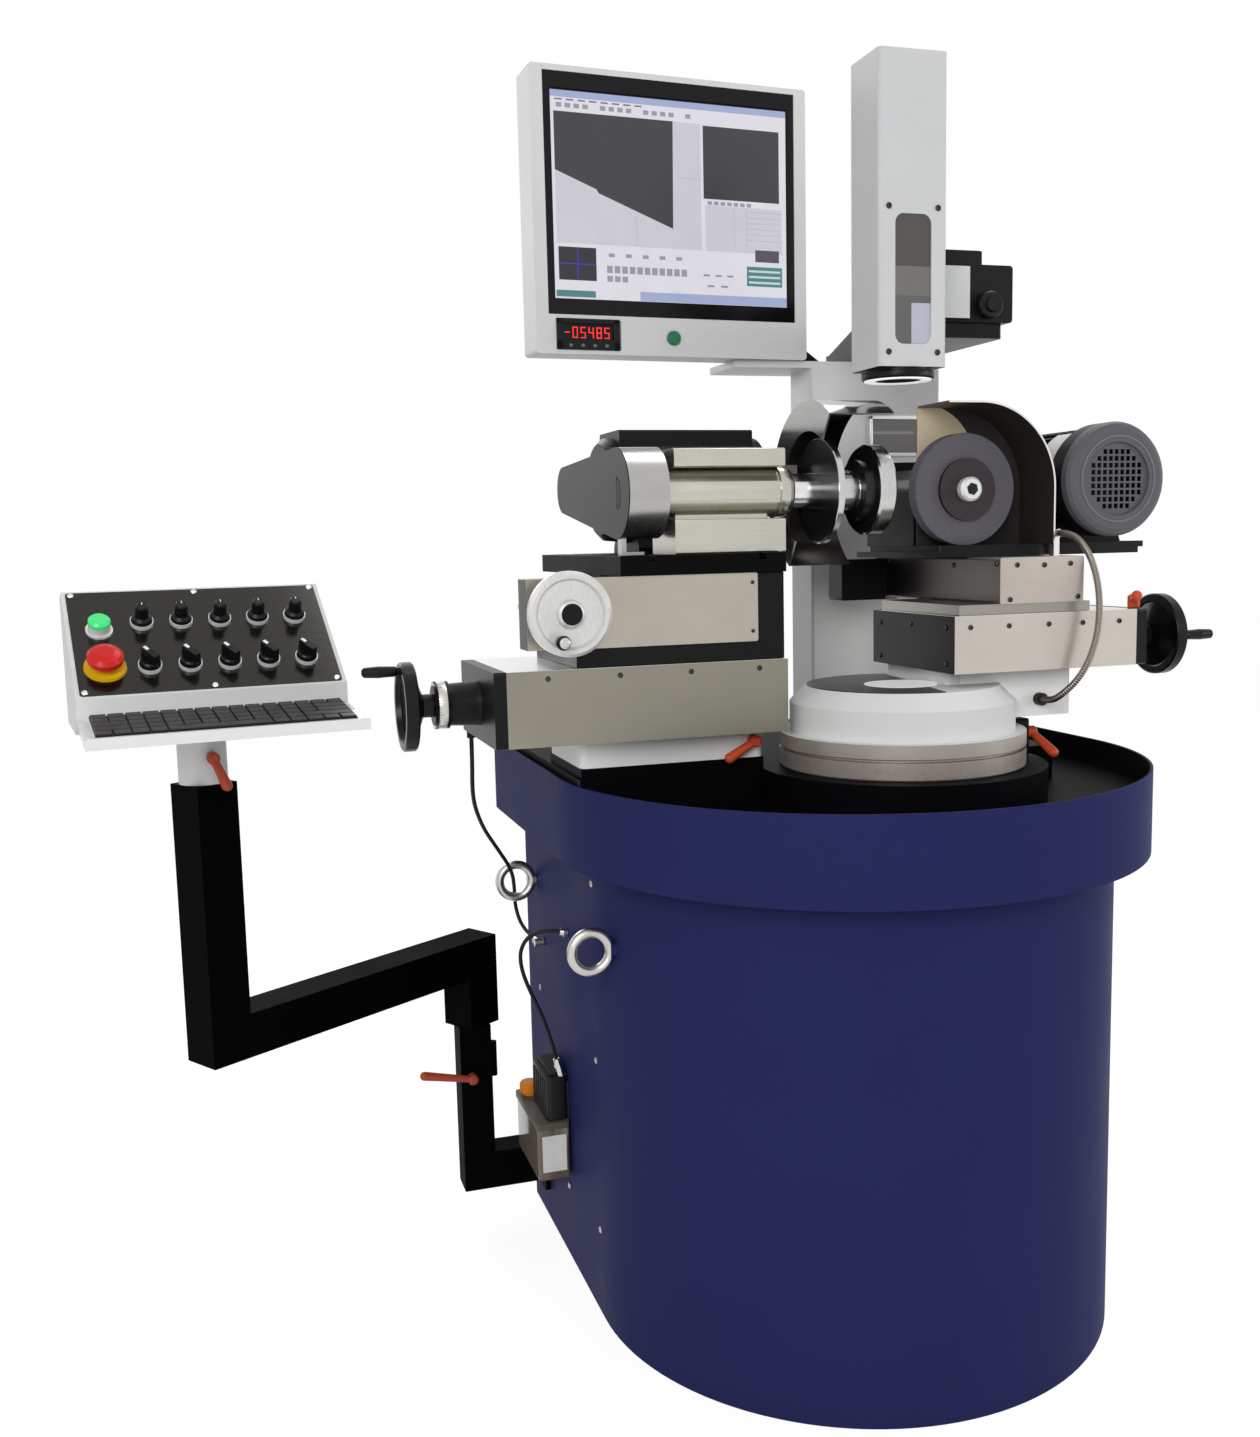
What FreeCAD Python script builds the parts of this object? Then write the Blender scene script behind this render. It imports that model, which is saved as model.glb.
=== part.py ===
"""Optical tool grinding and wheel truing machine on a cabinet.

Millimetres. The origin lies on the floor under the turntable axis,
+X to the right, +Y to the back, +Z up.
"""
import FreeCAD, Part
import math
import os

V = FreeCAD.Vector
X_AXIS = V(1, 0, 0)
Y_AXIS = V(0, 1, 0)
Z_AXIS = V(0, 0, 1)

# Clearances
RUN_GAP = 0.3          # flat faces of bodies that slide on each other
SHAFT_FIT = 0.06       # radial play of a turning shaft in its bore
HUB_FIT = 0.02         # radial play of a hub that is fixed on its shaft
NUT_FIT = 0.4          # radial play of a nut round its screw
SLOT_PLAY = 4.0        # room at each side of a nut in its slot

# Cabinet and tray, D-shaped in plan
BODY_X = -31.0
BODY_Y = 117.0         # centre of the round front
BODY_BACK = 530.0
CABINET_R = 368.0
CABINET_H = 664.0
CABINET_WALL = 3.0
CABINET_FLOOR = 6.0
TRAY_R = 414.0
TRAY_H = 112.0
TRAY_WALL = 4.0
TRAY_FLOOR_UP = 74.0
PLINTH_UP = 121.0
PLINTH_DEEP = 12.0     # top thickness of the raised plinth
PLINTH_WALL = 8.0
PLINTH_ROUND = 190.0
PLINTH_LEFT = -436.0
PLINTH_RIGHT = 262.0
PLINTH_FRONT = 40.0
PLINTH_FROM_BACK = 60.0
WORK_PAD_H = 13.0
DRAIN_R = 12.0
DRAIN_FROM_BACK = 30.0

# Guide rings on the cabinet's left wall
EYE_RING_R = 26.0
EYE_WIRE_R = 7.0
EYE_STEM_R = 9.0
EYE_Z = 556.0
EYE_FRONT_Y = 46.0
EYE_FROM_BACK = 68.0

# Work unit at the left
WORK_BASE_W = 252.0
WORK_BASE_D = 160.0
WORK_BASE_H = 38.5
WORK_BASE_X = -432.0
WORK_BASE_Y = 45.0
WORK_SLIDE_X = -535.0
WORK_SLIDE_L = 372.0
WORK_SLIDE_Y = 0.0
WORK_SLIDE_D = 215.0
WORK_SLIDE_H = 95.0
COVER_SHEET = 2.0
END_BLOCK_T = 16.0
BOSS_R = 29.0
BOSS_L = 58.0
DIAL_R = 30.5
DIAL_L = 15.0
SCREW_R = 8.0
CRANK_SHAFT_R = 10.0
HANDWHEEL_R = 57.0
HANDWHEEL_T = 17.0
HANDWHEEL_HUB_R = 15.0
HANDWHEEL_HUB_L = 24.0
HANDLE_R = 7.5
HANDLE_L = 52.0
HANDLE_OUT = 46.0
NUT_L = 40.0
NUT_W = 26.0
SEAT_L = 14.0          # block inside a cover that holds the screw's end
SEAT_WALL = 8.0
SHAFT_MORE = 6.0       # shaft reach past the cover's end sheet
WORK_TRAVEL = (-60.0, 10.0)
SADDLE_X = -507.0
SADDLE_W = 341.0
SADDLE_ARM_D = 40.0    # depth of the cross screw's bracket
SADDLE_H = 111.5
SADDLE_FOOT_H = 24.0
SADDLE_FOOT_X = -445.0
CROSS_COVER_X = -441.0
CROSS_COVER_W = 237.0
CROSS_COVER_T = 4.0
CROSS_X = -462.0       # cross screw axis
CROSS_DROP = 42.0      # cross screw below the saddle top
CROSS_WALL = 18.0
CROSS_WHEEL_R = 52.0
CROSS_WHEEL_T = 14.0
CROSS_COLLAR_R = 20.0
CROSS_COLLAR_L = 30.0
TABLE_X = -388.0
TABLE_H = 25.0
TABLE_FRONT = 5.0      # overhang in front of the saddle
TABLE_D = 405.0
T_SLOT_AT = (42.0, 190.0)  # slots, from the table's left side
T_SLOT_W = 10.0
T_SLOT_DEEP = 9.0

# Headstock, its spindle and belt drive
HEAD_X = -308.0
HEAD_W = 151.0
HEAD_FRONT = 17.0
HEAD_D = 92.0
HEAD_BLOCK_H = 43.5
HEAD_WALL = 18.0
SPINDLE_Y = 62.0
SPINDLE_UP = 78.5      # spindle axis above the table top
BARREL_R = 31.0
BARREL_LEFT = 10.0     # barrel reach left of the block
BARREL_NOSE = 13.0
NOSE_R = 35.0
CAP_H = 24.0
SPINDLE_R = 14.0
PULLEY_R = 40.0
PULLEY_T = 30.0
MOTOR_PULLEY_R = 21.0
BELT_T = 4.0
BELT_CLEAR = 0.4
BELT_W = 22.0
BELT_COVER_T = 54.0
BELT_COVER_R = 58.0
BELT_COVER_END_R = 33.0
MOTOR_BACK = 264.0     # motor axis behind the spindle
MOTOR_RISE = 14.0
MOTOR_R = 78.0
MOTOR_L = 247.0
MOTOR_SHAFT_R = 10.0
MOTOR_SHAFT_IN = 36.0
MOTOR_BELL = 30.0
MOTOR_FOOT_AT = (40.0, 137.0)  # both feet, from the motor's left end
MOTOR_FOOT_L = 34.0
MOTOR_FOOT_W = 124.0
MOTOR_FOOT_TOP_W = 88.0
MOTOR_FOOT_H = 8.0
TERMINAL_AT = 18.0     # flat box on top, from the motor's left end
TERMINAL_L = 204.0
TERMINAL_W = 100.0
TERMINAL_UP = 5.0      # above the motor's top
FLANGE_R = 70.0
FLANGE_X = -92.0
FLANGE_T = 8.0
GRIND_R = 60.0
GRIND_X = -27.0
GRIND_T = 24.0
GUARD_R = 118.0
GUARD_SHEET = 2.5
GUARD_W = 92.0
GUARD_GAP = 14.0       # side plate before the flange
GUARD_OPEN_R = 78.0    # opening of the side plate
GUARD_LIP = 36.0       # degrees from the top to the front lip
GUARD_END = 148.0      # degrees from the top to the lower back edge
GUARD_ARM_UP = 10.0
GUARD_ARM_H = 26.0

# Turntable and dressing slide at the right
TURN_R = 162.0
TURN_BASE_H = 23.0
TURN_RING_H = 22.0
TURN_DISC_R = 148.0
TURN_TOP_R = 127.0
TURN_DISC_H = 60.0
TURN_CHAMFER_H = 21.0
PIVOT_R = 45.0
PIVOT_H = 36.0
CLAMP_GAP = 3.0
CLAMP_W = 24.0
CLAMP_H = 48.0
RISER_X = 40.0
RISER_RIGHT = 230.0
RISER_FRONT = -50.0
RISER_BACK = 120.0
RISER_UP = 18.0        # above the disc top
RISER_H = 66.0
DRESS_SLIDE_X = 26.0
DRESS_SLIDE_L = 272.0
DRESS_SLIDE_Y = -93.0
DRESS_SLIDE_D = 223.0
DRESS_SLIDE_H = 74.0
DRESS_SCREW_UP = 30.0
DRESS_BOSS_R = 26.0
DRESS_BOSS_L = 70.0
DRESS_TRAVEL = (-8.0, 50.0)
SADDLE_STRIP_H = 13.0
CROSS_HOUSING_X = 91.0
CROSS_HOUSING_W = 124.0
CROSS_HOUSING_D = 342.0
CROSS_HOUSING_H = 59.0
REAR_BLOCK_L = 72.0
REAR_BLOCK_D = 44.0
REAR_BLOCK_BACK = 12.0
CONDUIT_OUT = 3.0      # upper conduit seat, beside the upper slide
CONDUIT_BACK = 61.0
CONDUIT_UP = 29.4
CONDUIT_ARM = 10.0
CONDUIT_GLAND = 5.0
CONDUIT_ROOT = 20.0
CONDUIT_FOOT_IN = 52.0  # lower conduit seat, on the riser's front
CONDUIT_FOOT_OUT = 10.0
CONDUIT_FOOT_DOWN = 43.3

# Dressing head
HEAD_BASE_X = 30.0
HEAD_BASE_W = 330.0
HEAD_BASE_Y = -10.0
HEAD_BASE_D = 200.0
HEAD_BASE_H = 8.0
HEAD_PLATE_H = 8.0
HEAD_PLATE_MORE = 10.0
DRESS_X = 95.0
DRESS_UP = 73.5        # wheel axis above the head plate
QUILL_R = 33.0
QUILL_NOSE = 10.0
COLLAR_R = 44.0
COLLAR_T = 16.0
CRADLE_W = 96.0
CRADLE_GAP = 8.0
DRESS_SPINDLE_R = 12.0
DRESS_WHEEL_R = 74.0
DRESS_WHEEL_T = 20.0
WHEEL_CLEAR = 3.0
DRESS_FLANGE_R = 41.0
DRESS_FLANGE_T = 6.0
DRESS_NUT_R = 16.0
DRESS_NUT_T = 12.0
HOOD_R = 112.0
HOOD_LEFT = 48.0       # flat stretch left of the wheel axis
HOOD_FRONT = -40.0
HOOD_BACK = 45.0
HOOD_SHEET = 2.5
DRESS_MOTOR_X = 300.0
DRESS_MOTOR_RISE = 10.0
DRESS_MOTOR_R = 76.0
DRESS_MOTOR_FRONT = -45.0
COWL_L = 44.0
COWL_SHEET = 2.0
FIN_ROOT_R = 64.0
FIN_H = 7.0
MOTOR_FLANGE_T = 12.0
DRESS_FOOT_W = 104.0
DRESS_FOOT_TOP_W = 80.0
DRESS_FOOT_IN = 20.0    # foot behind the cowl
DRESS_FOOT_SHORT = 44.0
FIN_T = 3.0
FIN_COUNT = 28
GRILLE_PITCH = 9.0
GRILLE_HOLE = 6.4
GRILLE_R = 49.0
BELT_BOX_D = 34.0
BELT_BOX_R = 46.0

# Column, camera and monitor
COLUMN_X = 21.0
COLUMN_W = 220.0
COLUMN_Y = 325.0
COLUMN_D = 78.0
COLUMN_H = 555.0
COLUMN_WALL = 4.0
COLUMN_ROUND = 4.0
HEAD_PLATE_X = -103.0
HEAD_PLATE_D = 108.0
HEAD_PLATE_T = 10.0
WINDOW_X = 120.0
WINDOW_W = 92.0
WINDOW_UP = 424.0
WINDOW_H = 58.0
WINDOW_DEEP = 2.5
ARM_X = 92.0
ARM_W = 96.0
ARM_FRONT = 166.0
ARM_PLATE_T = 20.0
ARM_BEAM_H = 32.0
ARM_SLOPE_L = 96.0
ARM_NOSE_Y = 64.0
ARM_FOOT_W = 122.0
GUSSET_X = 36.0        # small wedge on the head plate beside the monitor
GUSSET_Y = 392.0
GUSSET_W = 42.0
GUSSET_H = 30.0
GUSSET_T = 12.0
STAGE_X = 60.0
STAGE_W = 140.0
STAGE_Y = 58.0
STAGE_D = 96.0
STAGE_H = 76.0
STAGE_CAP_W = 92.0
STAGE_CAP_H = 18.0
KNOB_X_R = 21.0
KNOB_Y_R = 18.0
KNOB_L = 18.0
KNOB_SHAFT_R = 5.0
KNOB_SHAFT_L = 18.0
KNOB_X_BACK = 42.0     # side knob, from the stage's front and foot
KNOB_X_UP = 53.0
KNOB_Y_SIDE = 100.0    # front knob, from the stage's left side and foot
KNOB_Y_UP = 22.0
MOUNT_W = 140.0        # plate between camera and stage
MOUNT_H = 68.0
MOUNT_UP = 4.0
CAMERA_W = 96.0
CAMERA_FRONT = -31.0
CAMERA_D = 82.0
CAMERA_Z = 1299.0
CAMERA_H = 385.0
CAMERA_WALL = 3.0
CAMERA_ROUND = 6.0
LENS_Y = 10.0
LENS_R = 47.0
LENS_H = 13.0
LENS_BORE = 30.0
CAMERA_WINDOW_W = 51.0
CAMERA_WINDOW_H = 160.0
CAMERA_WINDOW_UP = 28.0
SWIVEL_X = -12.0
SWIVEL_Y = 400.0
SWIVEL_PIN_R = 12.0
SWIVEL_H = 52.0
SLEEVE_FOOT_R = 26.0
MONITOR_YAW = 4.1
MONITOR_W = 426.0
MONITOR_H = 388.0
MONITOR_T = 56.0
MONITOR_OUT = 84.0     # front face before the swivel axis
MONITOR_SHIFT = -196.0
BEZEL_W = 388.0
BEZEL_H = 326.0
BEZEL_UP = 23.0
BEZEL_T = 8.0
METER_W = 96.0
METER_H = 48.0
METER_AT = (-134.0, -167.0)
MONITOR_BUTTON_AT = (-5.0, -168.0)
BUTTON_R = 11.0

# Console and its arm
POST_X = -510.0
POST_FROM_BACK = 65.0
POST_W = 50.0
POST_TOP = 333.0
POST_FOOT_Z = 63.0
POST_FOOT_H = 60.0
POST_FLANGE_T = 8.0
POST_FLANGE_MORE = 14.0
POST_STOP_R = 6.0
POST_STOP_L = 56.0
POST_STOP_DOWN = 32.0  # top of the stop pin below the post top
ARM_TUBE = 60.0
TUBE_WALL = 3.0
ARM_PIN_R = 18.0
ARM_SEAT_T = 16.0
ARM_REACH = 460.0
ARM_TURN = 213.3       # direction of the arm in plan, degrees
ARM_TOP = 475.0
CONSOLE_POST_TOP = 789.0
CONSOLE_YAW = 7.8
CONSOLE_W = 320.0
PANEL_W = 316.0
PANEL_L = 193.0
PANEL_SLOPE = 38.6
PANEL_UP = 190.0       # panel centre above the arm's upright
PANEL_OUT = 41.0       # panel centre before the post axis
PANEL_SIDE = 6.0
CONSOLE_BACK = 62.0
CONSOLE_FLOOR_UP = 83.0
CONSOLE_LIP = 26.0
CONSOLE_WALL = 3.0
NECK_R = 31.0
NECK_PIN_R = 20.0
NECK_PIN_L = 20.0
NECK_SEAT_T = 24.0
SHELF_D = 107.0
SHELF_DROP = 14.0
SHELF_T = 8.0
KEYS_D = 88.0
KEYS_T = 6.0
BEZEL_RING_R = 14.0
BEZEL_RING_H = 6.0
KNOB_SKIRT_R = 13.0
KNOB_SKIRT_H = 7.0
PANEL_KNOB_R = 7.5
PANEL_KNOB_H = 24.0
SELECT_BAR_W = 8.0
SELECT_BAR_L = 23.0
SELECT_TURN = 35.0     # rest angle of the selector bars
SPINDLE_STUB_R = 3.0
SPEED_ROW = -31.0      # distance down the panel from its centre
SELECT_ROW = 49.0
ROW_START = -71.0
ROW_PITCH = 47.3
ROW_COUNT = 5
START_AT = (-122.0, -20.0)
START_R = 13.0
START_RING_R = 16.0
START_PROUD = 21.0
STOP_AT = (-122.0, 47.0)
STOP_R = 21.0
STOP_RING_R = 20.0
STOP_STEM_R = 9.0
STOP_H = 27.0
BUTTON_PROUD = 5.0
BUTTON_DEEP = 14.0

# Clamp levers
LEVER_HUB_R = 8.0
LEVER_HUB_L = 18.0
LEVER_ROOT_R = 5.0
LEVER_TIP_R = 7.0

# Lubricator on the cabinet's left wall
LUBE_Y = 278.0
LUBE_L = 145.0
LUBE_W = 52.0
LUBE_Z = 140.0
TANK_H = 78.0
TANK_WALL = 2.5
PUMP_H = 84.0
PUMP_Y = 284.0
PUMP_L = 92.0
LUBE_CAP_R = 15.0
LUBE_CAP_H = 20.0
OUTLET_L = 30.0

# Cords: route points chosen by hand
HOSE_R = 3.0
FITTING_R = 6.0
FITTING_L = 10.0
HOSE_SEAT_IN = 8.0     # upper hose seat under the end block
HOSE_SEAT_BACK = 12.0
HOSE_SEAT_DROP = 10.5
HOSE_UPPER = [
    (-543, 203, 826), (-543, 203, 792), (-540, 226, 756), (-532, 262, 726),
    (-519, 304, 698), (-500, 352, 664), (-473, 404, 626), (-441, 446, 578),
    (-431, 478, 540), (-428, 495, 515), (-424, 488, 487), (-418, 460, 472),
    (-411, 428, 467)]
HOSE_LOWER = [
    (-417, 290, 322), (-424, 290, 353), (-437, 290, 393), (-454, 289, 432),
    (-466, 287, 466), (-468, 285, 496), (-454, 281, 519), (-429, 275, 525),
    (-410, 270, 522)]
CONDUIT_R = 4.5
CONDUIT = [
    (218, -32, 1084), (218, -58, 1084), (221, -84, 1069), (223, -104, 1041),
    (224, -115, 1004), (221, -119, 964), (212, -118, 927), (198, -111, 896),
    (184, -96, 875), (178, -80, 865), (178, -60, 865)]

# Heights and places that follow from the sizes above
TRAY_Z = CABINET_H
RIM_Z = TRAY_Z + TRAY_H
PLINTH_BACK = BODY_BACK - PLINTH_FROM_BACK
EYE_BACK_Y = BODY_BACK - EYE_FROM_BACK
TRAY_FLOOR_Z = TRAY_Z + TRAY_FLOOR_UP
PLINTH_Z = TRAY_Z + PLINTH_UP
WORK_PAD_Z = PLINTH_Z + WORK_PAD_H
WORK_BASE_TOP = WORK_PAD_Z + WORK_BASE_H
WORK_SLIDE_TOP = WORK_BASE_TOP + WORK_SLIDE_H
WORK_SLIDE_RIGHT = WORK_SLIDE_X + WORK_SLIDE_L
WORK_SLIDE_BACK = WORK_SLIDE_Y + WORK_SLIDE_D
END_LEFT = WORK_SLIDE_X - END_BLOCK_T
CRANK_Y = WORK_SLIDE_Y + WORK_SLIDE_D / 2
CRANK_Z = WORK_BASE_TOP + WORK_SLIDE_H / 2
BOSS_LEFT = END_LEFT - BOSS_L
SADDLE_Z = WORK_SLIDE_TOP + RUN_GAP
SADDLE_TOP = SADDLE_Z + SADDLE_H
SADDLE_RIGHT = SADDLE_X + SADDLE_W
SADDLE_MID = (SADDLE_FOOT_X + SADDLE_RIGHT) / 2
WORK_NUT_X = SADDLE_MID - NUT_L / 2
CROSS_Z = SADDLE_TOP - CROSS_DROP
TABLE_Z = SADDLE_TOP + RUN_GAP
TABLE_TOP = TABLE_Z + TABLE_H
TABLE_Y = WORK_SLIDE_Y - TABLE_FRONT
SPINDLE_Z = TABLE_TOP + SPINDLE_UP
HEAD_RIGHT = HEAD_X + HEAD_W
HEAD_BACK = HEAD_FRONT + HEAD_D
BARREL_END = HEAD_X - BARREL_LEFT
NOSE_END = HEAD_RIGHT + BARREL_NOSE
MOTOR_Y = SPINDLE_Y + MOTOR_BACK
MOTOR_Z = SPINDLE_Z + MOTOR_RISE
GUARD_X = FLANGE_X - GUARD_GAP
TURN_TOP = PLINTH_Z + TURN_BASE_H
TURN_Z = TURN_TOP + RUN_GAP
TURN_RING_TOP = TURN_Z + TURN_RING_H
DISC_TOP = TURN_RING_TOP + TURN_DISC_H
RISER_TOP = DISC_TOP + RISER_UP
DRESS_TOP = RISER_TOP + DRESS_SLIDE_H
DRESS_RIGHT = DRESS_SLIDE_X + DRESS_SLIDE_L
DRESS_END = DRESS_RIGHT + END_BLOCK_T
DRESS_Y = DRESS_SLIDE_Y + DRESS_SLIDE_D / 2
DRESS_SCREW_Z = RISER_TOP + DRESS_SCREW_UP
STRIP_Z = DRESS_TOP + RUN_GAP
CROSS_HOUSING_Z = STRIP_Z + SADDLE_STRIP_H
CROSS_HOUSING_TOP = CROSS_HOUSING_Z + CROSS_HOUSING_H
CROSS_HOUSING_RIGHT = CROSS_HOUSING_X + CROSS_HOUSING_W
DRESS_NUT_X = CROSS_HOUSING_X + (CROSS_HOUSING_W - NUT_L) / 2
HEAD_BASE_Z = CROSS_HOUSING_TOP + RUN_GAP
HEAD_PLATE_Z = HEAD_BASE_Z + HEAD_BASE_H
HEAD_TOP = HEAD_PLATE_Z + HEAD_PLATE_H
HEAD_BASE_RIGHT = HEAD_BASE_X + HEAD_BASE_W
DRESS_Z = HEAD_TOP + DRESS_UP
DRESS_MOTOR_Z = DRESS_Z + DRESS_MOTOR_RISE
FIN_R = FIN_ROOT_R + FIN_H
HEAD_REAR = HEAD_BASE_Y + HEAD_BASE_D
COLUMN_TOP = PLINTH_Z + COLUMN_H
HEAD_PLATE_TOP = COLUMN_TOP + HEAD_PLATE_T
STAGE_Z = HEAD_PLATE_TOP + ARM_PLATE_T + RUN_GAP
CAMERA_BACK = CAMERA_FRONT + CAMERA_D
KNOB_X_AT = (STAGE_Y + KNOB_X_BACK, STAGE_Z + KNOB_X_UP)
KNOB_Y_AT = (STAGE_X + KNOB_Y_SIDE, STAGE_Z + KNOB_Y_UP)
POST_Y = BODY_BACK - POST_FROM_BACK
CONSOLE_X = POST_X + ARM_REACH * math.cos(math.radians(ARM_TURN))
CONSOLE_Y = POST_Y + ARM_REACH * math.sin(math.radians(ARM_TURN))
CONSOLE_FLOOR_Z = CONSOLE_POST_TOP + CONSOLE_FLOOR_UP
PANEL_Z = CONSOLE_POST_TOP + PANEL_UP
SLOPE = math.radians(PANEL_SLOPE)
PANEL_NORMAL = V(0, -math.sin(SLOPE), math.cos(SLOPE))
SPEED_PLACES = [(ROW_START + i * ROW_PITCH, SPEED_ROW) for i in range(ROW_COUNT)]
SELECT_PLACES = [(ROW_START + i * ROW_PITCH, SELECT_ROW) for i in range(ROW_COUNT)]

# Clamp levers: where the hub starts, its axis, where the handle points and its length
LEVERS = {
    "work_base_lever": ((WORK_BASE_X + WORK_BASE_W - 16, WORK_BASE_Y - RUN_GAP, WORK_BASE_TOP - 15),
                        Y_AXIS * -1, (-0.86, 0, -0.5), 42),
    "turntable_lever": ((TURN_R + CLAMP_GAP + CLAMP_W + RUN_GAP, 0, PLINTH_Z + CLAMP_H - 20),
                        X_AXIS, (0.25, -0.8, -0.54), 46),
    "dress_lever": ((DRESS_END - 8, DRESS_SLIDE_Y + 18, DRESS_TOP + RUN_GAP),
                    Z_AXIS, (-0.5, -0.85, 0.2), 34),
    "arm_lever": ((POST_X - 8, POST_Y - POST_W / 2 - RUN_GAP, POST_TOP - 81),
                  Y_AXIS * -1, (-0.96, 0, 0.2), 78),
}
NECK_LEVER_AT = (8, -NECK_R - RUN_GAP, CONSOLE_POST_TOP + 36)


def box(x0, x1, y0, y1, z0, z1):
    """Block between two corners."""
    return Part.makeBox(x1 - x0, y1 - y0, z1 - z0, V(x0, y0, z0))


def rod(start, axis, radius, length):
    """Round bar from a start point along an axis."""
    return Part.makeCylinder(radius, length, V(*start), axis)


def tube(start, axis, outer, inner, length):
    """Round bar with a bore right through."""
    return rod(start, axis, outer, length).cut(rod(start, axis, inner, length))


def fuse(first, *others):
    """One solid from touching or overlapping shapes."""
    return first.fuse(list(others)).removeSplitter()


def spin(profile, base, axis):
    """Turned piece: profile points are (distance along the axis, radius)."""
    side = Z_AXIS if abs(axis.z) < 0.5 else X_AXIS
    centre = V(*base)
    points = [centre + axis * along + side * radius for along, radius in profile]
    wire = Part.makePolygon(points + points[:1])
    return Part.Face(wire).revolve(centre, axis, 360)


def in_plane(normal, at, a, b):
    """Point of a drawing plane: (y, z) for x, (x, z) for y, (x, y) for z."""
    places = {"x": V(at, a, b), "y": V(a, at, b), "z": V(a, b, at)}
    return places[normal]


def extrude(wire, normal, length):
    """Solid from a closed wire, along +X, +Y or +Z."""
    axes = {"x": X_AXIS, "y": Y_AXIS, "z": Z_AXIS}
    return Part.Face(wire).extrude(axes[normal] * length)


def prism(points, normal, at, length):
    """Straight-sided profile drawn in a plane and extruded."""
    corners = [in_plane(normal, at, a, b) for a, b in points]
    return extrude(Part.makePolygon(corners + corners[:1]), normal, length)


def soft_box(x0, x1, y0, y1, z0, z1, radius, axis=Z_AXIS):
    """Block whose edges along one axis are rounded."""
    block = box(x0, x1, y0, y1, z0, z1)
    edges = [e for e in block.Edges if abs(e.tangentAt(e.FirstParameter).dot(axis)) > 0.9]
    return block.makeFillet(radius, edges)


def pear_wire(big, big_r, small, small_r, normal, at):
    """Outline round two circles and their outer tangents."""
    reach = math.hypot(small[0] - big[0], small[1] - big[1])
    heading = math.atan2(small[1] - big[1], small[0] - big[0])
    lean = math.acos((big_r - small_r) / reach)

    def on_circle(centre, radius, angle):
        return in_plane(normal, at, centre[0] + radius * math.cos(angle),
                        centre[1] + radius * math.sin(angle))

    big_up = on_circle(big, big_r, heading + lean)
    big_down = on_circle(big, big_r, heading - lean)
    small_up = on_circle(small, small_r, heading + lean)
    small_down = on_circle(small, small_r, heading - lean)
    big_far = on_circle(big, big_r, heading + math.pi)
    small_far = on_circle(small, small_r, heading)
    edges = [Part.Arc(big_up, big_far, big_down).toShape(),
             Part.makeLine(big_down, small_down),
             Part.Arc(small_down, small_far, small_up).toShape(),
             Part.makeLine(small_up, big_up)]
    return Part.Wire(edges)


def body_wire(radius, back, z):
    """D-shaped plan: round front, straight sides and back."""
    left = BODY_X - radius
    right = BODY_X + radius
    front = V(BODY_X, BODY_Y - radius, z)
    edges = [Part.makeLine(V(left, back, z), V(left, BODY_Y, z)),
             Part.Arc(V(left, BODY_Y, z), front, V(right, BODY_Y, z)).toShape(),
             Part.makeLine(V(right, BODY_Y, z), V(right, back, z)),
             Part.makeLine(V(right, back, z), V(left, back, z))]
    return Part.Wire(edges)


def body_block(radius, back, z0, z1):
    """D-shaped block between two heights."""
    return extrude(body_wire(radius, back, z0), "z", z1 - z0)


def turned(shape, degrees, x, y):
    """Shape drawn about a vertical axis at the origin, turned and set in place."""
    shape.Placement = FreeCAD.Placement(V(x, y, 0), FreeCAD.Rotation(Z_AXIS, degrees))
    return shape


def cord(route, radius, name):
    """Tube along straight runs joined by tangent arcs."""
    points = [V(*p) for p in route]
    edges = []
    radii = []
    last = points[0]
    for before, here, after in zip(points, points[1:], points[2:]):
        back = before - here
        ahead = after - here
        run = min(back.Length, ahead.Length)
        back.normalize()
        ahead.normalize()
        half_turn = (math.pi - back.getAngle(ahead)) / 2
        cut = 0.45 * run
        arc_r = cut / math.tan(half_turn)
        radii.append(arc_r)
        start = here + back * cut
        end = here + ahead * cut
        inward = back + ahead
        inward.normalize()
        middle = here + inward * (arc_r / math.cos(half_turn) - arc_r)
        edges.append(Part.makeLine(last, start))
        edges.append(Part.Arc(start, middle, end).toShape())
        last = end
    edges.append(Part.makeLine(last, points[-1]))
    path = Part.Wire(edges)
    section = Part.Wire([Part.makeCircle(radius, points[0], points[1] - points[0])])
    solid = path.makePipeShell([section], True, False)
    ideal = math.pi * radius ** 2 * path.Length
    print("%s length %.0f, volume ratio %.4f" % (name, path.Length, solid.Volume / ideal))
    print("  radii " + ", ".join("%.0f" % r for r in radii))
    return solid


def end_fitting(route, wall_x):
    """Barb in line with the last run of a hose, on a stub from the wall."""
    end = V(*route[-1])
    heading = end - V(*route[-2])
    heading.normalize()
    barb = Part.makeCylinder(FITTING_R, FITTING_L, end, heading)
    seat = end + heading * FITTING_L
    foot = rod((seat.x - FITTING_R, seat.y, seat.z), X_AXIS, FITTING_R, wall_x - seat.x + FITTING_R)
    ball = Part.makeSphere(FITTING_R, seat)
    return fuse(barb, ball, foot)


def lever(start, axis, hand, length):
    """Clamp lever: turned hub and a tapered handle that leaves it sideways."""
    hub = spin([(0, 0), (0, LEVER_HUB_R - 1), (2, LEVER_HUB_R), (LEVER_HUB_L - 3, LEVER_HUB_R),
                (LEVER_HUB_L, LEVER_HUB_R - 3), (LEVER_HUB_L, 0)], start, axis)
    hand = V(*hand)
    hand.normalize()
    root = V(*start) + axis * (LEVER_HUB_L * 0.6)
    grip = Part.makeCone(LEVER_ROOT_R, LEVER_TIP_R, length, root, hand)
    tip = Part.makeSphere(LEVER_TIP_R, root + hand * length)
    return fuse(hub, grip, tip)


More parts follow.
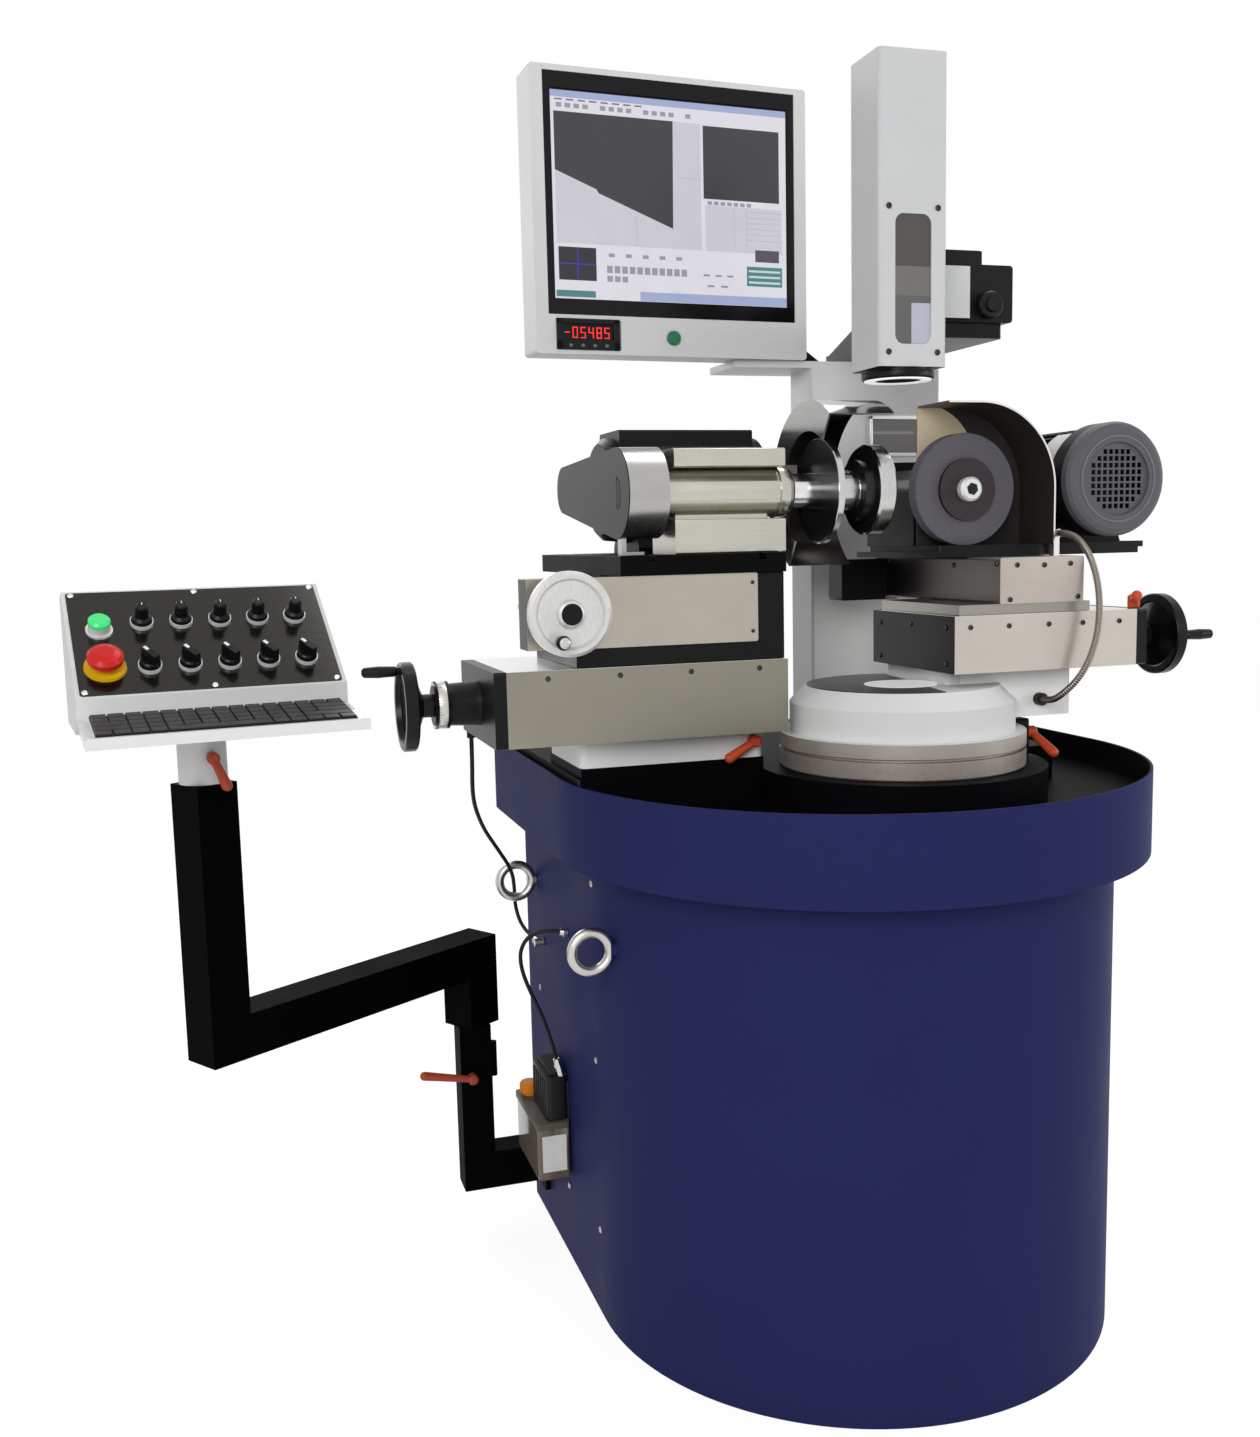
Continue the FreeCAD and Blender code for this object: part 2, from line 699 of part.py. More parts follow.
def handwheel(face, axis, shaft_r, shaft_l, screw_r, screw_l, handle_side):
    """Dished handwheel with a handle, and the shaft and screw behind it.

    The face point is where the hub meets the boss; the axis points outwards.
    """
    hub = HANDWHEEL_HUB_L
    rim = hub + HANDWHEEL_T
    inner = HANDWHEEL_R - 12
    wheel = spin([(0, 0), (0, HANDWHEEL_HUB_R), (hub * 0.55, HANDWHEEL_HUB_R), (hub + 1, inner),
                  (hub, inner + 2), (hub, HANDWHEEL_R - 2), (hub + 2, HANDWHEEL_R),
                  (rim - 2, HANDWHEEL_R), (rim, HANDWHEEL_R - 2), (rim, inner + 2),
                  (rim - 7, inner), (hub * 0.9, HANDWHEEL_HUB_R + 5),
                  (hub * 1.35, HANDWHEEL_HUB_R), (hub * 1.35, 0)], face, axis)
    side = V(*handle_side)
    root = V(*face) + axis * (rim - 5) + side * HANDLE_OUT
    handle = spin([(0, 0), (0, HANDLE_R - 2.5), (8, HANDLE_R - 2.5), (10, HANDLE_R - 1),
                   (HANDLE_L * 0.6, HANDLE_R), (HANDLE_L - 3, HANDLE_R - 1),
                   (HANDLE_L, HANDLE_R - 4), (HANDLE_L, 0)], tuple(root), axis)
    shaft = rod(face, axis * -1, shaft_r, shaft_l)
    screw = rod(tuple(V(*face) - axis * shaft_l), axis * -1, screw_r, screw_l)
    return fuse(wheel, handle, shaft, screw)


def pedestal():
    """Sheet cabinet with floor, guide rings and hose fittings."""
    outer = body_block(CABINET_R, BODY_BACK, 0, CABINET_H)
    inner = body_block(CABINET_R - CABINET_WALL, BODY_BACK - CABINET_WALL,
                       CABINET_FLOOR, CABINET_H)
    shell = outer.cut(inner)
    eyes = []
    for y in (EYE_FRONT_Y, EYE_BACK_Y):
        dip = max(BODY_Y - y, 0)
        wall = BODY_X - math.sqrt(CABINET_R ** 2 - dip ** 2)
        centre = V(wall - EYE_RING_R - EYE_WIRE_R, y, EYE_Z)
        eyes.append(Part.makeTorus(EYE_RING_R, EYE_WIRE_R, centre, Y_AXIS))
        eyes.append(rod((wall + CABINET_WALL / 2, y, EYE_Z), X_AXIS * -1,
                        EYE_STEM_R, CABINET_WALL / 2 + EYE_WIRE_R))
    wall_x = BODY_X - CABINET_R + CABINET_WALL / 2
    fittings = [end_fitting(HOSE_UPPER, wall_x), end_fitting(HOSE_LOWER, wall_x)]
    return fuse(shell, *(eyes + fittings))


def coolant_tray():
    """Dish with a skirt down to the cabinet top and a raised plinth inside."""
    outer = body_block(TRAY_R, BODY_BACK, TRAY_Z, RIM_Z)
    dish = body_block(TRAY_R - TRAY_WALL, BODY_BACK - TRAY_WALL, TRAY_FLOOR_Z, RIM_Z)
    hollow = body_block(TRAY_R - TRAY_WALL, BODY_BACK - TRAY_WALL,
                        TRAY_Z + TRAY_WALL, TRAY_FLOOR_Z - TRAY_WALL)
    open_base = body_block(CABINET_R - 2 * TRAY_WALL, BODY_BACK - 3 * TRAY_WALL,
                           TRAY_Z, TRAY_Z + TRAY_WALL)
    tray = outer.cut([dish, hollow, open_base])
    high = PLINTH_Z - TRAY_FLOOR_Z
    block = fuse(rod((0, 0, TRAY_FLOOR_Z), Z_AXIS, PLINTH_ROUND, high),
                 box(PLINTH_LEFT, PLINTH_RIGHT, PLINTH_FRONT, PLINTH_BACK, TRAY_FLOOR_Z, PLINTH_Z))
    low = high - PLINTH_DEEP
    core = fuse(rod((0, 0, TRAY_FLOOR_Z), Z_AXIS, PLINTH_ROUND - PLINTH_WALL, low),
                box(PLINTH_LEFT + PLINTH_WALL, PLINTH_RIGHT - PLINTH_WALL,
                    PLINTH_FRONT + PLINTH_WALL, PLINTH_BACK - PLINTH_WALL,
                    TRAY_FLOOR_Z, TRAY_FLOOR_Z + low))
    drain = rod((BODY_X, BODY_BACK - DRAIN_FROM_BACK, TRAY_FLOOR_Z - TRAY_WALL), Z_AXIS, DRAIN_R, TRAY_WALL)
    floor_hole = rod((0, 0, TRAY_FLOOR_Z - TRAY_WALL), Z_AXIS, PIVOT_R, TRAY_WALL)
    pad = box(WORK_BASE_X, WORK_BASE_X + WORK_BASE_W, WORK_BASE_Y, WORK_BASE_Y + WORK_BASE_D,
              PLINTH_Z, WORK_PAD_Z)
    return fuse(tray, block.cut(core), pad).cut([drain, floor_hole])


def turntable_base():
    """Fixed ring with the pivot and the clamp block beside it."""
    ring = spin([(0, 0), (0, TURN_R - 2), (2, TURN_R), (TURN_BASE_H, TURN_R),
                 (TURN_BASE_H, PIVOT_R), (TURN_BASE_H + PIVOT_H, PIVOT_R),
                 (TURN_BASE_H + PIVOT_H, 0)], (0, 0, PLINTH_Z), Z_AXIS)
    near = TURN_R + CLAMP_GAP
    foot = box(TURN_R - 8, near + CLAMP_W, -CLAMP_W / 2, CLAMP_W / 2,
               PLINTH_Z, TURN_TOP)
    block = soft_box(near, near + CLAMP_W, -CLAMP_W / 2, CLAMP_W / 2,
                     PLINTH_Z, PLINTH_Z + CLAMP_H, 3, X_AXIS)
    return fuse(ring, foot, block)


def turntable_disc():
    """Swivelling disc with the riser under the dressing slide."""
    land = 3.2
    disc = spin([(0, PIVOT_R + SHAFT_FIT), (0, TURN_R - 6), (land, TURN_R - 6), (land, TURN_R - 1),
                 (land + 1, TURN_R), (TURN_RING_H, TURN_R), (TURN_RING_H, TURN_DISC_R),
                 (TURN_RING_H + TURN_DISC_H - TURN_CHAMFER_H, TURN_DISC_R),
                 (TURN_RING_H + TURN_DISC_H, TURN_TOP_R), (TURN_RING_H + TURN_DISC_H, 0),
                 (PIVOT_H + 1, 0), (PIVOT_H + 1, PIVOT_R + SHAFT_FIT)], (0, 0, TURN_Z), Z_AXIS)
    riser = soft_box(RISER_X, RISER_RIGHT, RISER_FRONT, RISER_BACK,
                     RISER_TOP - RISER_H, RISER_TOP, 10)
    seat = (RISER_RIGHT - CONDUIT_FOOT_IN, RISER_FRONT - CONDUIT_FOOT_OUT, RISER_TOP - CONDUIT_FOOT_DOWN)
    socket = rod(seat, Y_AXIS, CONDUIT_R + 4, CONDUIT_FOOT_OUT + 4)
    pivot_bore = rod((0, 0, TURN_Z), Z_AXIS, PIVOT_R + SHAFT_FIT, PIVOT_H + 1)
    return fuse(disc, riser, socket).cut(pivot_bore)


def slide_housing(x0, length, y0, depth, z0, height, slot_x, slot_l, screw_y):
    """Sheet cover of a slide: closed box with a slot on top for the nut."""
    outer = box(x0, x0 + length, y0, y0 + depth, z0, z0 + height)
    inner = box(x0 + COVER_SHEET, x0 + length - COVER_SHEET, y0 + COVER_SHEET,
                y0 + depth - COVER_SHEET, z0 + COVER_SHEET, z0 + height - COVER_SHEET)
    half = NUT_W / 2 + SLOT_PLAY
    slot = box(slot_x, slot_x + slot_l, screw_y - half, screw_y + half,
               z0 + height - COVER_SHEET, z0 + height)
    return outer.cut([inner, slot])


def screw_seat(x0, x1, y, z):
    """Block between two places along X that holds the end of a lead screw."""
    half = SCREW_R + SEAT_WALL
    return box(x0, x1, y - half, y + half, z - half, z + half)


def work_slide_base():
    """White casting under the work slide."""
    left = WORK_BASE_X
    right = left + WORK_BASE_W
    back = WORK_BASE_Y + WORK_BASE_D
    return soft_box(left, right, WORK_BASE_Y, back, WORK_PAD_Z, WORK_BASE_TOP, 8)


def work_slide_housing():
    """Stainless slide cover, black end block, boss and graduated ring."""
    slot_x = WORK_NUT_X + WORK_TRAVEL[0] - SLOT_PLAY
    slot_l = NUT_L + WORK_TRAVEL[1] - WORK_TRAVEL[0] + 2 * SLOT_PLAY
    cover = slide_housing(WORK_SLIDE_X, WORK_SLIDE_L, WORK_SLIDE_Y, WORK_SLIDE_D,
                          WORK_BASE_TOP, WORK_SLIDE_H, slot_x, slot_l, CRANK_Y)
    block = soft_box(END_LEFT, WORK_SLIDE_X, WORK_SLIDE_Y, WORK_SLIDE_BACK,
                     WORK_BASE_TOP, WORK_SLIDE_TOP, 3, X_AXIS)
    boss = spin([(0, 0), (0, BOSS_R), (BOSS_L - DIAL_L - 4, BOSS_R - 2),
                 (BOSS_L - DIAL_L - 4, DIAL_R), (BOSS_L - 4, DIAL_R), (BOSS_L - 4, DIAL_R - 3),
                 (BOSS_L, DIAL_R - 5), (BOSS_L, 0)], (END_LEFT, CRANK_Y, CRANK_Z), X_AXIS * -1)
    hose_at = (END_LEFT + HOSE_SEAT_IN, WORK_SLIDE_BACK - HOSE_SEAT_BACK, WORK_BASE_TOP - HOSE_SEAT_DROP)
    fitting = rod(hose_at, Z_AXIS, FITTING_R, HOSE_SEAT_DROP)
    wall = WORK_SLIDE_RIGHT - COVER_SHEET
    seat = screw_seat(wall - SEAT_L, WORK_SLIDE_RIGHT, CRANK_Y, CRANK_Z)
    bore = rod((BOSS_LEFT, CRANK_Y, CRANK_Z), X_AXIS, CRANK_SHAFT_R + SHAFT_FIT,
               BOSS_L + END_BLOCK_T + COVER_SHEET)
    far = rod((wall - SEAT_L, CRANK_Y, CRANK_Z), X_AXIS, SCREW_R + SHAFT_FIT, SEAT_L)
    return fuse(cover, block, boss, fitting, seat).cut([bore, far])


def work_crank():
    """Handwheel, shaft and lead screw of the work slide."""
    face = (BOSS_LEFT - RUN_GAP, CRANK_Y, CRANK_Z)
    shaft_l = BOSS_L + END_BLOCK_T + COVER_SHEET + RUN_GAP + SHAFT_MORE
    screw_l = WORK_SLIDE_RIGHT - COVER_SHEET - RUN_GAP - face[0] - shaft_l
    return handwheel(face, X_AXIS * -1, CRANK_SHAFT_R, shaft_l, SCREW_R, screw_l, (0, 0, 1))


def work_saddle():
    """Black cross casting on a foot, with the nut below and the screw's bracket at the left."""
    front = WORK_SLIDE_Y + CROSS_COVER_T
    foot_top = SADDLE_Z + SADDLE_FOOT_H
    foot = box(SADDLE_FOOT_X, SADDLE_RIGHT, front, WORK_SLIDE_BACK, SADDLE_Z, foot_top)
    casting = box(TABLE_X, SADDLE_RIGHT, front, WORK_SLIDE_BACK, foot_top, SADDLE_TOP)
    bracket = box(SADDLE_X, TABLE_X, front, front + SADDLE_ARM_D, foot_top, SADDLE_TOP)
    nut = box(WORK_NUT_X, WORK_NUT_X + NUT_L, CRANK_Y - NUT_W / 2, CRANK_Y + NUT_W / 2,
              CRANK_Z - NUT_W / 2, SADDLE_Z)
    thread = rod((WORK_NUT_X, CRANK_Y, CRANK_Z), X_AXIS, SCREW_R + NUT_FIT, NUT_L)
    trough = box(TABLE_X, TABLE_X + NUT_W + SLOT_PLAY, front + SADDLE_ARM_D,
                 WORK_SLIDE_BACK - CROSS_WALL, CROSS_Z - NUT_W / 2 - SLOT_PLAY, SADDLE_TOP)
    bore = rod((CROSS_X, front, CROSS_Z), Y_AXIS, SCREW_R + SHAFT_FIT, SADDLE_ARM_D)
    return fuse(foot, casting, bracket, nut).cut([thread, trough, bore])


def cross_cover():
    """Stainless plate over the saddle front."""
    return soft_box(CROSS_COVER_X, CROSS_COVER_X + CROSS_COVER_W, WORK_SLIDE_Y,
                    WORK_SLIDE_Y + CROSS_COVER_T, SADDLE_Z + SADDLE_FOOT_H, SADDLE_TOP, 3, Y_AXIS)


def cross_handwheel():
    """Disc handwheel with knob, collar and cross screw."""
    front = WORK_SLIDE_Y + CROSS_COVER_T
    collar = CROSS_COLLAR_L
    face = (CROSS_X, front - RUN_GAP, CROSS_Z)
    rim = collar + CROSS_WHEEL_T
    wheel = spin([(0, 0), (0, CROSS_COLLAR_R), (collar, CROSS_COLLAR_R), (collar, CROSS_WHEEL_R - 2),
                  (collar + 2, CROSS_WHEEL_R), (rim - 3, CROSS_WHEEL_R), (rim, CROSS_WHEEL_R - 4),
                  (rim, CROSS_WHEEL_R - 9), (rim - 4, CROSS_WHEEL_R - 12), (rim - 4, 18),
                  (rim + 3, 16), (rim + 5, 13), (rim + 5, 0)], face, Y_AXIS * -1)
    knob_at = (CROSS_X - 14, front - RUN_GAP - rim + 4, CROSS_Z - 33)
    knob = spin([(0, 0), (0, 4), (6, 4), (9, 8), (20, 9), (26, 7), (28, 4), (28, 0)],
                knob_at, Y_AXIS * -1)
    screw = rod(face, Y_AXIS, SCREW_R, WORK_SLIDE_BACK - face[1])
    return fuse(wheel, knob, screw)


def work_table():
    """Black table plate with slots along Y and a nut on an arm below."""
    plate = box(TABLE_X, SADDLE_RIGHT, TABLE_Y, TABLE_Y + TABLE_D, TABLE_Z, TABLE_TOP)
    slots = []
    for along in T_SLOT_AT:
        x = TABLE_X + along
        slots.append(box(x - T_SLOT_W / 2, x + T_SLOT_W / 2, TABLE_Y, TABLE_Y + TABLE_D,
                         TABLE_TOP - T_SLOT_DEEP, TABLE_TOP))
    near = CRANK_Y - NUT_L / 2
    low = CROSS_Z - NUT_W / 2
    hanger = box(TABLE_X, TABLE_X + NUT_W, near, near + NUT_L, low, TABLE_Z)
    nut = box(CROSS_X - NUT_W / 2, TABLE_X, near, near + NUT_L, low, low + NUT_W)
    thread = rod((CROSS_X, near, CROSS_Z), Y_AXIS, SCREW_R + NUT_FIT, NUT_L)
    return fuse(plate.cut(slots), hanger, nut.cut(thread))


def headstock():
    """Steel block, cap and back wall that hold the spindle barrel."""
    back = HEAD_BACK
    cap_z = SPINDLE_Z + BARREL_R
    block = soft_box(HEAD_X, HEAD_RIGHT, HEAD_FRONT, back, TABLE_TOP, TABLE_TOP + HEAD_BLOCK_H,
                     2, X_AXIS)
    wall = box(HEAD_X, HEAD_RIGHT, back - HEAD_WALL, back, TABLE_TOP, cap_z + CAP_H - 3)
    cap = soft_box(HEAD_X, HEAD_RIGHT, HEAD_FRONT, back, cap_z - 1, cap_z + CAP_H - 1, 3, X_AXIS)
    rib = box(HEAD_X + 12, HEAD_RIGHT - 12, SPINDLE_Y - 11, SPINDLE_Y + 11,
              TABLE_TOP + HEAD_BLOCK_H - 2, SPINDLE_Z)
    barrel = spin([(0, 0), (0, BARREL_R - 3), (3, BARREL_R), (BARREL_LEFT + HEAD_W, BARREL_R),
                   (BARREL_LEFT + HEAD_W, NOSE_R),
                   (BARREL_LEFT + HEAD_W + BARREL_NOSE, NOSE_R),
                   (BARREL_LEFT + HEAD_W + BARREL_NOSE, BARREL_R),
                   (BARREL_LEFT + HEAD_W + BARREL_NOSE + 8, BARREL_R - 2),
                   (BARREL_LEFT + HEAD_W + BARREL_NOSE + 8, 0)],
                  (BARREL_END, SPINDLE_Y, SPINDLE_Z), X_AXIS)
    bore = rod((BARREL_END, SPINDLE_Y, SPINDLE_Z), X_AXIS, SPINDLE_R + SHAFT_FIT,
               BARREL_LEFT + HEAD_W + BARREL_NOSE + 8)
    return fuse(block, wall, cap, rib, barrel).cut(bore)


def belt_cover():
    """Pear-shaped pressed cover with a slot, open to the right, on a strip foot."""
    left = BARREL_END - BELT_COVER_T
    big = (SPINDLE_Y, SPINDLE_Z)
    small = (MOTOR_Y, MOTOR_Z)
    outer = extrude(pear_wire(big, BELT_COVER_R, small, BELT_COVER_END_R, "x", left),
                    "x", BELT_COVER_T)
    inner = extrude(pear_wire(big, BELT_COVER_R - COVER_SHEET, small,
                              BELT_COVER_END_R - COVER_SHEET, "x", left + COVER_SHEET),
                    "x", BELT_COVER_T - COVER_SHEET)
    slot_w = 9.0
    slot_h = 40.0
    slot = soft_box(left, left + COVER_SHEET, SPINDLE_Y - 12, SPINDLE_Y - 12 + slot_w,
                    SPINDLE_Z - slot_h / 2, SPINDLE_Z + slot_h / 2, slot_w * 0.45, X_AXIS)
    strip_h = SPINDLE_Z - BELT_COVER_R + COVER_SHEET - TABLE_TOP
    strip = box(left + 4, left + 10, SPINDLE_Y - 9, SPINDLE_Y + 9, TABLE_TOP, TABLE_TOP + strip_h)
    foot = box(left + 4, left + 34, SPINDLE_Y - 9, SPINDLE_Y + 9, TABLE_TOP, TABLE_TOP + 4)
    return fuse(outer.cut([inner, slot]), strip, foot)


def work_belt():
    """Flat belt round the two pulleys."""
    x = BARREL_END - (BELT_COVER_T + BELT_W) / 2
    big = (SPINDLE_Y, SPINDLE_Z)
    small = (MOTOR_Y, MOTOR_Z)
    near = BELT_CLEAR
    far = BELT_CLEAR + BELT_T
    outer = extrude(pear_wire(big, PULLEY_R + far, small, MOTOR_PULLEY_R + far, "x", x),
                    "x", BELT_W)
    inner = extrude(pear_wire(big, PULLEY_R + near, small, MOTOR_PULLEY_R + near, "x", x),
                    "x", BELT_W)
    return outer.cut(inner)


def pulley_profile(radius, bore):
    """Crowned pulley with end flanges left off, as (along, radius)."""
    return [(0, bore), (0, radius - 1), (PULLEY_T * 0.3, radius), (PULLEY_T * 0.7, radius),
            (PULLEY_T, radius - 1), (PULLEY_T, bore)]


def work_motor():
    """Foot-mounted motor behind the headstock, with a flat terminal box."""
    bell = MOTOR_BELL
    body = spin([(0, 0), (0, MOTOR_R - 12), (8, MOTOR_R - 4), (bell, MOTOR_R - 2),
                 (bell, MOTOR_R), (MOTOR_L - bell, MOTOR_R), (MOTOR_L - bell, MOTOR_R - 2),
                 (MOTOR_L - 8, MOTOR_R - 4), (MOTOR_L, MOTOR_R - 14), (MOTOR_L, 0)],
                (BARREL_END, MOTOR_Y, MOTOR_Z), X_AXIS)
    wide = MOTOR_FOOT_W / 2
    narrow = MOTOR_FOOT_TOP_W / 2
    sole = TABLE_TOP + MOTOR_FOOT_H
    waist = MOTOR_Z - MOTOR_R + 24
    profile = [(MOTOR_Y - wide, TABLE_TOP), (MOTOR_Y + wide, TABLE_TOP), (MOTOR_Y + wide, sole),
               (MOTOR_Y + narrow, waist), (MOTOR_Y - narrow, waist), (MOTOR_Y - wide, sole)]
    feet = [prism(profile, "x", BARREL_END + along, MOTOR_FOOT_L) for along in MOTOR_FOOT_AT]
    left = BARREL_END + TERMINAL_AT
    terminal = soft_box(left, left + TERMINAL_L, MOTOR_Y - TERMINAL_W / 2, MOTOR_Y + TERMINAL_W / 2,
                        MOTOR_Z + MOTOR_R / 2, MOTOR_Z + MOTOR_R + TERMINAL_UP, 4, X_AXIS)
    bore = rod((BARREL_END, MOTOR_Y, MOTOR_Z), X_AXIS, MOTOR_SHAFT_R + SHAFT_FIT, MOTOR_SHAFT_IN + 4)
    return fuse(body, terminal, *feet).cut(bore)


def work_motor_pulley():
    """Motor shaft end with its pulley."""
    x = BARREL_END - (BELT_COVER_T + PULLEY_T) / 2
    pulley = spin(pulley_profile(MOTOR_PULLEY_R, 0), (x, MOTOR_Y, MOTOR_Z), X_AXIS)
    shaft = rod((x, MOTOR_Y, MOTOR_Z), X_AXIS, MOTOR_SHAFT_R, BARREL_END - x + MOTOR_SHAFT_IN)
    return fuse(pulley, shaft)


def work_spindle():
    """Spindle with its pulley at the left and the wheel seat at the right."""
    x = BARREL_END - (BELT_COVER_T + PULLEY_T) / 2
    pulley = spin(pulley_profile(PULLEY_R, 0), (x, SPINDLE_Y, SPINDLE_Z), X_AXIS)
    shaft = rod((x, SPINDLE_Y, SPINDLE_Z), X_AXIS, SPINDLE_R, GRIND_X + GRIND_T - x)
    stop_x = NOSE_END + 8 + RUN_GAP
    stop = rod((stop_x, SPINDLE_Y, SPINDLE_Z), X_AXIS, SPINDLE_R + 9, FLANGE_X - stop_x)
    nut = rod((GRIND_X + GRIND_T, SPINDLE_Y, SPINDLE_Z), X_AXIS, SPINDLE_R + 5, 7)
    return fuse(pulley, shaft, stop, nut)


def work_wheel():
    """Flange plate, hub and grinding wheel on the spindle end."""
    gap = GRIND_X - FLANGE_X
    wide = gap + GRIND_T
    bore = SPINDLE_R + HUB_FIT
    return spin([(0, bore), (0, FLANGE_R - 1), (1, FLANGE_R), (FLANGE_T, FLANGE_R),
                 (FLANGE_T, 30), (gap - 14, 26), (gap - 12, 40), (gap, 42), (gap, GRIND_R - 3),
                 (gap + 3, GRIND_R), (wide - 3, GRIND_R), (wide, GRIND_R - 3), (wide, 46),
                 (wide - 5, 42), (wide - 5, 28), (wide, 26), (wide, bore)],
                (FLANGE_X, SPINDLE_Y, SPINDLE_Z), X_AXIS)


def guard_sector(inner, length):
    """Ring sector about the work spindle, from the lip over the top and down the back."""
    def place(radius, degrees):
        turn = math.radians(degrees)
        return in_plane("x", GUARD_X, SPINDLE_Y + radius * math.sin(turn),
                        SPINDLE_Z + radius * math.cos(turn))

    middle = (GUARD_END - GUARD_LIP) / 2
    outside = Part.Arc(place(GUARD_R, -GUARD_LIP), place(GUARD_R, middle), place(GUARD_R, GUARD_END))
    inside = Part.Arc(place(inner, GUARD_END), place(inner, middle), place(inner, -GUARD_LIP))
    edges = [outside.toShape(), Part.makeLine(place(GUARD_R, GUARD_END), place(inner, GUARD_END)),
             inside.toShape(), Part.makeLine(place(inner, -GUARD_LIP), place(GUARD_R, -GUARD_LIP))]
    return extrude(Part.Wire(edges), "x", length)


def work_guard():
    """C-shaped sheet guard round the work wheel, on an arm from the headstock."""
    band = guard_sector(GUARD_R - GUARD_SHEET, GUARD_W)
    plate = guard_sector(GUARD_OPEN_R, GUARD_SHEET)
    arm_low = SPINDLE_Z + GUARD_ARM_UP
    arm = box(HEAD_RIGHT, GUARD_X + GUARD_SHEET, HEAD_BACK - HEAD_WALL / 2,
              SPINDLE_Y + (GUARD_OPEN_R + GUARD_R) / 2, arm_low, arm_low + GUARD_ARM_H)
    return fuse(band, plate, arm)


def dress_slide_housing():
    """Stainless cover of the dressing slide with end plate and boss."""
    slot_x = DRESS_NUT_X + DRESS_TRAVEL[0] - SLOT_PLAY
    slot_l = NUT_L + DRESS_TRAVEL[1] - DRESS_TRAVEL[0] + 2 * SLOT_PLAY
    cover = slide_housing(DRESS_SLIDE_X, DRESS_SLIDE_L, DRESS_SLIDE_Y, DRESS_SLIDE_D,
                          RISER_TOP, DRESS_SLIDE_H, slot_x, slot_l, DRESS_Y)
    plate = soft_box(DRESS_RIGHT, DRESS_END, DRESS_SLIDE_Y, DRESS_SLIDE_Y + DRESS_SLIDE_D,
                     RISER_TOP, DRESS_TOP, 3, X_AXIS)
    boss = spin([(0, 0), (0, DRESS_BOSS_R), (DRESS_BOSS_L - 20, DRESS_BOSS_R - 2),
                 (DRESS_BOSS_L - 20, DRESS_BOSS_R + 1), (DRESS_BOSS_L - 4, DRESS_BOSS_R + 1),
                 (DRESS_BOSS_L, DRESS_BOSS_R - 3), (DRESS_BOSS_L, 0)],
                (DRESS_END, DRESS_Y, DRESS_SCREW_Z), X_AXIS)
    bore = rod((DRESS_RIGHT - COVER_SHEET, DRESS_Y, DRESS_SCREW_Z), X_AXIS,
               CRANK_SHAFT_R + SHAFT_FIT, DRESS_BOSS_L + END_BLOCK_T + COVER_SHEET)
    wall = DRESS_SLIDE_X + COVER_SHEET
    seat = screw_seat(DRESS_SLIDE_X, wall + SEAT_L, DRESS_Y, DRESS_SCREW_Z)
    far = rod((wall, DRESS_Y, DRESS_SCREW_Z), X_AXIS, SCREW_R + SHAFT_FIT, SEAT_L)
    return fuse(cover, plate, boss, seat).cut([bore, far])


def dress_handwheel():
    """Handwheel, shaft and lead screw of the dressing slide."""
    face = (DRESS_END + DRESS_BOSS_L + RUN_GAP, DRESS_Y, DRESS_SCREW_Z)
    shaft_l = DRESS_BOSS_L + END_BLOCK_T + COVER_SHEET + RUN_GAP + SHAFT_MORE
    screw_l = face[0] - shaft_l - DRESS_SLIDE_X - COVER_SHEET - RUN_GAP
    return handwheel(face, X_AXIS, CRANK_SHAFT_R, shaft_l, SCREW_R, screw_l, (0, -1, 0))


def dress_cross_housing():
    """Saddle strip, stainless upper slide, rear block, nut and conduit bracket."""
    strip = box(CROSS_HOUSING_X - 55, CROSS_HOUSING_RIGHT + 14, DRESS_SLIDE_Y + 6,
                DRESS_SLIDE_Y + DRESS_SLIDE_D - 6, STRIP_Z, CROSS_HOUSING_Z)
    back = DRESS_SLIDE_Y + CROSS_HOUSING_D
    cover = soft_box(CROSS_HOUSING_X, CROSS_HOUSING_RIGHT, DRESS_SLIDE_Y, back,
                     CROSS_HOUSING_Z, CROSS_HOUSING_TOP, 3, Y_AXIS)
    rear = soft_box(CROSS_HOUSING_X - REAR_BLOCK_L, CROSS_HOUSING_X + 20,
                    back - REAR_BLOCK_D + REAR_BLOCK_BACK,
                    back + REAR_BLOCK_BACK, CROSS_HOUSING_Z - 4, CROSS_HOUSING_TOP - 3, 4, Y_AXIS)
    nut = box(DRESS_NUT_X, DRESS_NUT_X + NUT_L, DRESS_Y - NUT_W / 2, DRESS_Y + NUT_W / 2,
              DRESS_SCREW_Z - NUT_W / 2, STRIP_Z)
    thread = rod((DRESS_NUT_X, DRESS_Y, DRESS_SCREW_Z), X_AXIS, SCREW_R + NUT_FIT, NUT_L)
    seat_x = CROSS_HOUSING_RIGHT + CONDUIT_OUT
    seat_y = DRESS_SLIDE_Y + CONDUIT_BACK
    seat_z = CROSS_HOUSING_TOP + CONDUIT_UP
    near = seat_y + CONDUIT_GLAND
    low = CROSS_HOUSING_TOP - CONDUIT_ROOT
    stem = box(CROSS_HOUSING_RIGHT - CONDUIT_ROOT, seat_x + CONDUIT_R, near, near + CONDUIT_ARM,
               low, CROSS_HOUSING_TOP)
    post = box(CROSS_HOUSING_RIGHT - 1, seat_x + CONDUIT_R, near, near + CONDUIT_ARM,
               low, seat_z + CONDUIT_R)
    gland = rod((seat_x, seat_y, seat_z), Y_AXIS, CONDUIT_R + 1, CONDUIT_GLAND)
    return fuse(strip, cover, rear, nut, stem, post, gland).cut(thread)


